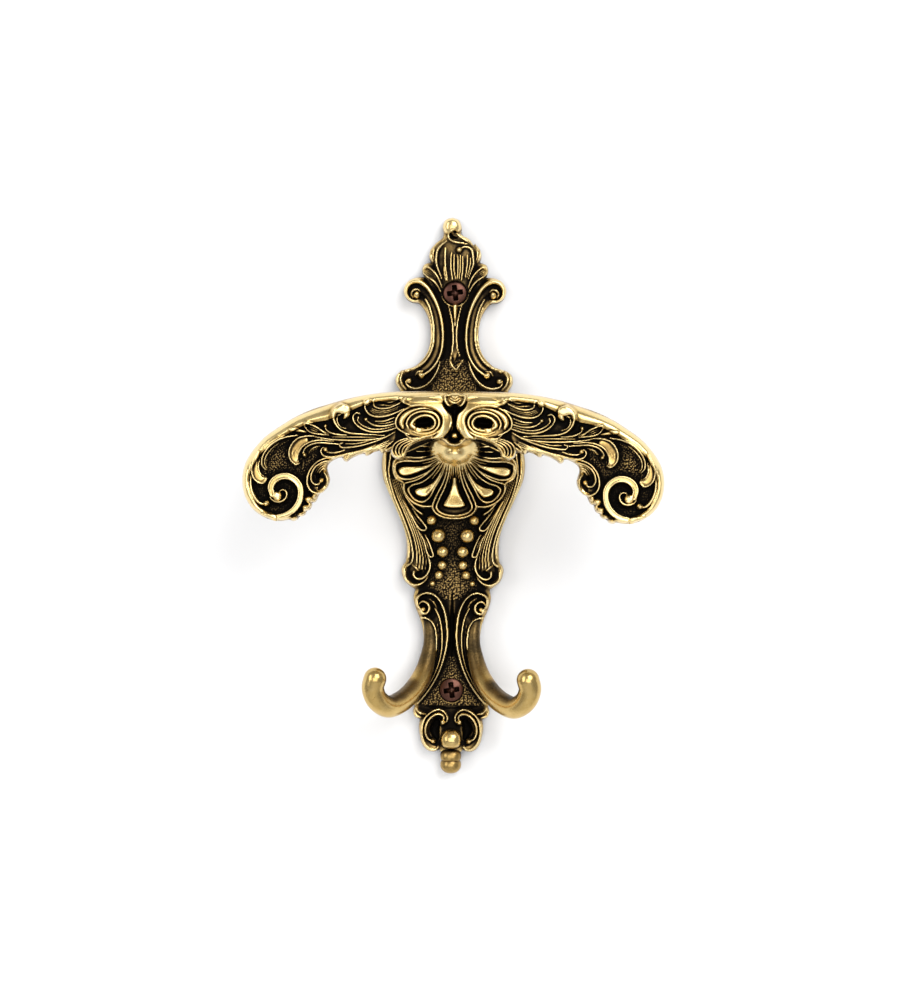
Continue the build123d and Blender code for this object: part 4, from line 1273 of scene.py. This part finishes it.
def stem():
    """Smooth swelling under the bar's middle that carries it on the shell."""
    foot_depth = 9
    head_depth = 50
    stations = [
        (foot_depth, 16.8, 6.2, 3.4), (14, 17.6, 6.1, 3.4), (18, 18.5, 6.0, 3.6), (23, 19.3, 5.8, 4.0),
        (30, 20, 5.8, 4.4), (38, 20.6, 6.0, 4.9), (46, 21.1, 6.4, 5.3), (head_depth, 21.4, 7.0, 5.7),
    ]
    around = 56
    angles = full_turn(around)
    rings = []
    for depth, z, rx, rz in smooth(stations, 0.8):
        x = SHELL_X * (head_depth - depth) / (head_depth - foot_depth) + rx * np.cos(angles)
        rings.append(np.column_stack([x, np.full(around, -depth), z + rz * np.sin(angles)]))
    verts = np.vstack(rings)
    return verts, ring_faces(len(rings), around), np.full(len(verts), STEM_RUBBED)


def build_arm():
    """Arm: bar, shell and stem in one casting."""
    parts = [carve_bar(), bar_back(), carve_shell(), stem()]
    build("hanger_arm_casting", parts, BRASS, "hanger_arm")


# Screws

def screw_head(centre_z, radius, front, dome, span=5.5, width=1.65, depth=2.2):
    """Domed head with a cross recess, front towards -Y."""
    angles = full_turn(120)
    outline = np.column_stack([radius * np.cos(angles), radius * np.sin(angles)])
    relief = Relief(outline, 0.12)
    r = np.hypot(relief.points[:, 0], relief.points[:, 1])
    relief.set_body(front + dome * (1 - (r / radius) ** 2) - 0.25 * (1 - round_edge((radius - r) / 0.5)))
    turn = math.radians(8)
    x = relief.points[:, 0] * math.cos(turn) + relief.points[:, 1] * math.sin(turn)
    z = -relief.points[:, 0] * math.sin(turn) + relief.points[:, 1] * math.cos(turn)
    for a, b in ((x, z), (z, x)):
        arm = step_up((width / 2 - np.abs(a)) / 0.24) * step_up((span / 2 - np.abs(b)) / 0.7)
        relief.cuts = np.maximum(relief.cuts, depth * arm)
    verts, faces, shine = relief.finish(front - depth - 0.2)
    verts[:, 2] += centre_z
    return verts, faces, shine


def threaded_shank(centre_z):
    """Countersunk cone, plain neck and a wood screw's thread down to the point."""
    pitch = 1.8
    length = 26.0
    neck_r = 1.45
    core_r = 1.4
    thread_rise = 0.58
    point_length = 4.0
    neck_start = -2.6
    thread_start = 0.3
    around = 40
    angles = full_turn(around)
    rings = []
    levels = np.concatenate([
        np.linspace(-4.9, -2.7, 6), np.linspace(-2.5, thread_start, 4), np.arange(0.45, length, 0.15)])
    for y in levels:
        if y < neck_start:
            r = np.full(around, 3.9 - 1.05 * (y + 4.9))
        elif y < thread_start + 0.05:
            r = np.full(around, neck_r)
        else:
            phase = (y / pitch - angles / (2 * math.pi)) % 1.0
            crest = np.clip(1 - np.abs(phase - 0.5) / 0.22, 0, 1)
            fade = min(1.0, (y - thread_start) / 0.8) * min(1.0, (length - y) / point_length)
            core = core_r * min(1.0, 0.12 + (length - y) / point_length)
            r = core + thread_rise * crest * fade
        rings.append(np.column_stack([r * np.cos(angles), np.full(around, y), centre_z + r * np.sin(angles)]))
    verts = np.vstack(rings)
    return verts, ring_faces(len(rings), around, flip=True), np.full(len(verts), 0.5)


def build_screws():
    """Both wood screws, and the machine screw behind the plate."""
    for name, z in (("upper_wall_screw", SCREW_Z), ("lower_wall_screw", -SCREW_Z)):
        head = screw_head(z, SCREW_HEAD_R - 0.02, PLATE_GROUND - 0.15, 0.9)
        build(name + "_looks", [head, threaded_shank(z)], BRONZE, name)
    # The machine screw looks the other way: its head is turned about the X axis
    verts, faces, shine = screw_head(-ARM_SCREW_Z, ARM_SCREW_HEAD_R, 2.0, 0.0, span=4.4, width=1.2, depth=1.4)
    head = (verts * [1, -1, -1] - [0, 3.05, 0], faces, shine)
    profile = [(ARM_SCREW_HEAD_R, -1.9), (ARM_SCREW_HEAD_R, -3.55), (2.45, -3.6), (2.45, -12.0)]
    barrel = lathe(profile, (0, ARM_SCREW_Z))
    build("arm_screw_looks", [head, barrel], ZINC, "arm_screw")


build_plate()
build_arm()
build_screws()


# Wall, floor, light and camera

def plain(name, colour, rough):
    """A material of one colour."""
    material, _, _, main = shader(name)
    main.inputs["Base Color"].default_value = (*colour, 1)
    main.inputs["Roughness"].default_value = rough
    return material


def sheet(name, corners, material, faces=((0, 1, 2, 3),)):
    """A flat sheet that stands round the hook and isn't part of it."""
    mesh = bpy.data.meshes.new(name)
    mesh.from_pydata(corners, [], list(faces))
    mesh.materials.append(material)
    obj = bpy.data.objects.new(name, mesh)
    bpy.context.scene.collection.objects.link(obj)


def one_sided_wall():
    """White wall that is only seen from the room."""
    material, nodes, links, main = shader("white_wall")
    main.inputs["Base Color"].default_value = (0.9, 0.9, 0.905, 1)
    main.inputs["Roughness"].default_value = 0.9
    clear = nodes.new("ShaderNodeBsdfTransparent")
    which = nodes.new("ShaderNodeNewGeometry")
    mix = nodes.new("ShaderNodeMixShader")
    links.new(which.outputs["Backfacing"], mix.inputs[0])
    links.new(main.outputs[0], mix.inputs[1])
    links.new(clear.outputs[0], mix.inputs[2])
    links.new(mix.outputs[0], nodes["Material Output"].inputs["Surface"])
    return material


def wall_with_opening(back):
    """The wall, open behind the plate, out of sight from the room, so that the hollow back gets light."""
    loop = both_sides(
        "-0.1 87, -2 87, -4 81.5, -6.6 78, -8 73, -12 69, -14.5 66.5, -12 64, -9 61, -6.8 56, -6.4 50, "
        "-8 44.5, -12 40, -16.5 38, -17.5 35.6, -16.4 33, -18.5 24, -21.6 12, -21.6 4, -19.5 -2, -15.8 -10, "
        "-13.8 -17, -14 -24, -15 -27, -12.5 -30.5, -10.8 -33, -11 -36.5, -8.6 -44, -7.8 -50, -8.6 -55, "
        "-11.5 -64, -12 -69, -10.6 -73, -9 -77, -8.4 -83, -6 -85, -0.1 -85.5")
    corners = [(-2000, -1200), (2000, -1200), (2000, 1600), (-2000, 1600)]
    flat = [[Vector((x, z, 0)) for x, z in ring] for ring in (corners, loop)]
    verts = [(x * MM, back, z * MM) for x, z in [*corners, *loop]]
    faces = []
    for face in geometry.tessellate_polygon(flat):
        a, b, c = (np.array(verts[i]) for i in face)
        faces.append(face if np.cross(b - a, c - a)[1] < 0 else face[::-1])
    sheet("wall", verts, one_sided_wall(), faces)


wall_with_opening(back=0.0003)
floor_corners = [(-2, -3, -1.2), (2, -3, -1.2), (2, 1, -1.2), (-2, 1, -1.2)]
sheet("floor", floor_corners, plain("pale_floor", (0.8, 0.8, 0.8), 0.8))


def softbox(name, place, size, power):
    """A soft rectangular lamp that faces the hook."""
    light = bpy.data.lights.new(name, "AREA")
    light.shape = "RECTANGLE"
    light.size, light.size_y = size
    light.energy = power
    obj = bpy.data.objects.new(name, light)
    obj.location = place
    obj.rotation_euler = (-Vector(place)).to_track_quat("-Z", "Y").to_euler()
    bpy.context.scene.collection.objects.link(obj)


softbox("key", (0.6, -1.4, 0.8), (1.0, 1.0), 17)
softbox("front", (0.1, -1.9, -0.2), (1.5, 1.1), 12)
softbox("fill", (-1.2, -1.1, 0.3), (0.6, 1.4), 8)

world = bpy.data.worlds.new("studio")
bpy.context.scene.world = world
world.use_nodes = True
world.node_tree.nodes["Background"].inputs["Color"].default_value = (1, 1, 1, 1)
world.node_tree.nodes["Background"].inputs["Strength"].default_value = 0.42

CAMERA_DISTANCE = 1.1
PLATE_PX_PER_MM = 3.016
ORIGIN_PX = (453.2, 491.5)
IMAGE_PX = (900, 1000)
camera = bpy.data.cameras.new("camera")
camera.sensor_fit = "VERTICAL"
camera.angle_y = 2 * math.atan(IMAGE_PX[1] / PLATE_PX_PER_MM * MM / 2 / (CAMERA_DISTANCE - 0.008))
camera.shift_x = (IMAGE_PX[0] / 2 - ORIGIN_PX[0]) / IMAGE_PX[1]
camera.shift_y = (ORIGIN_PX[1] - IMAGE_PX[1] / 2) / IMAGE_PX[1]
eye = bpy.data.objects.new("camera", camera)
eye.location = (0, -CAMERA_DISTANCE, 0)
eye.rotation_euler = (math.pi / 2, math.radians(-0.52), 0)
bpy.context.scene.collection.objects.link(eye)
bpy.context.scene.camera = eye

bpy.context.scene.view_settings.view_transform = "Standard"
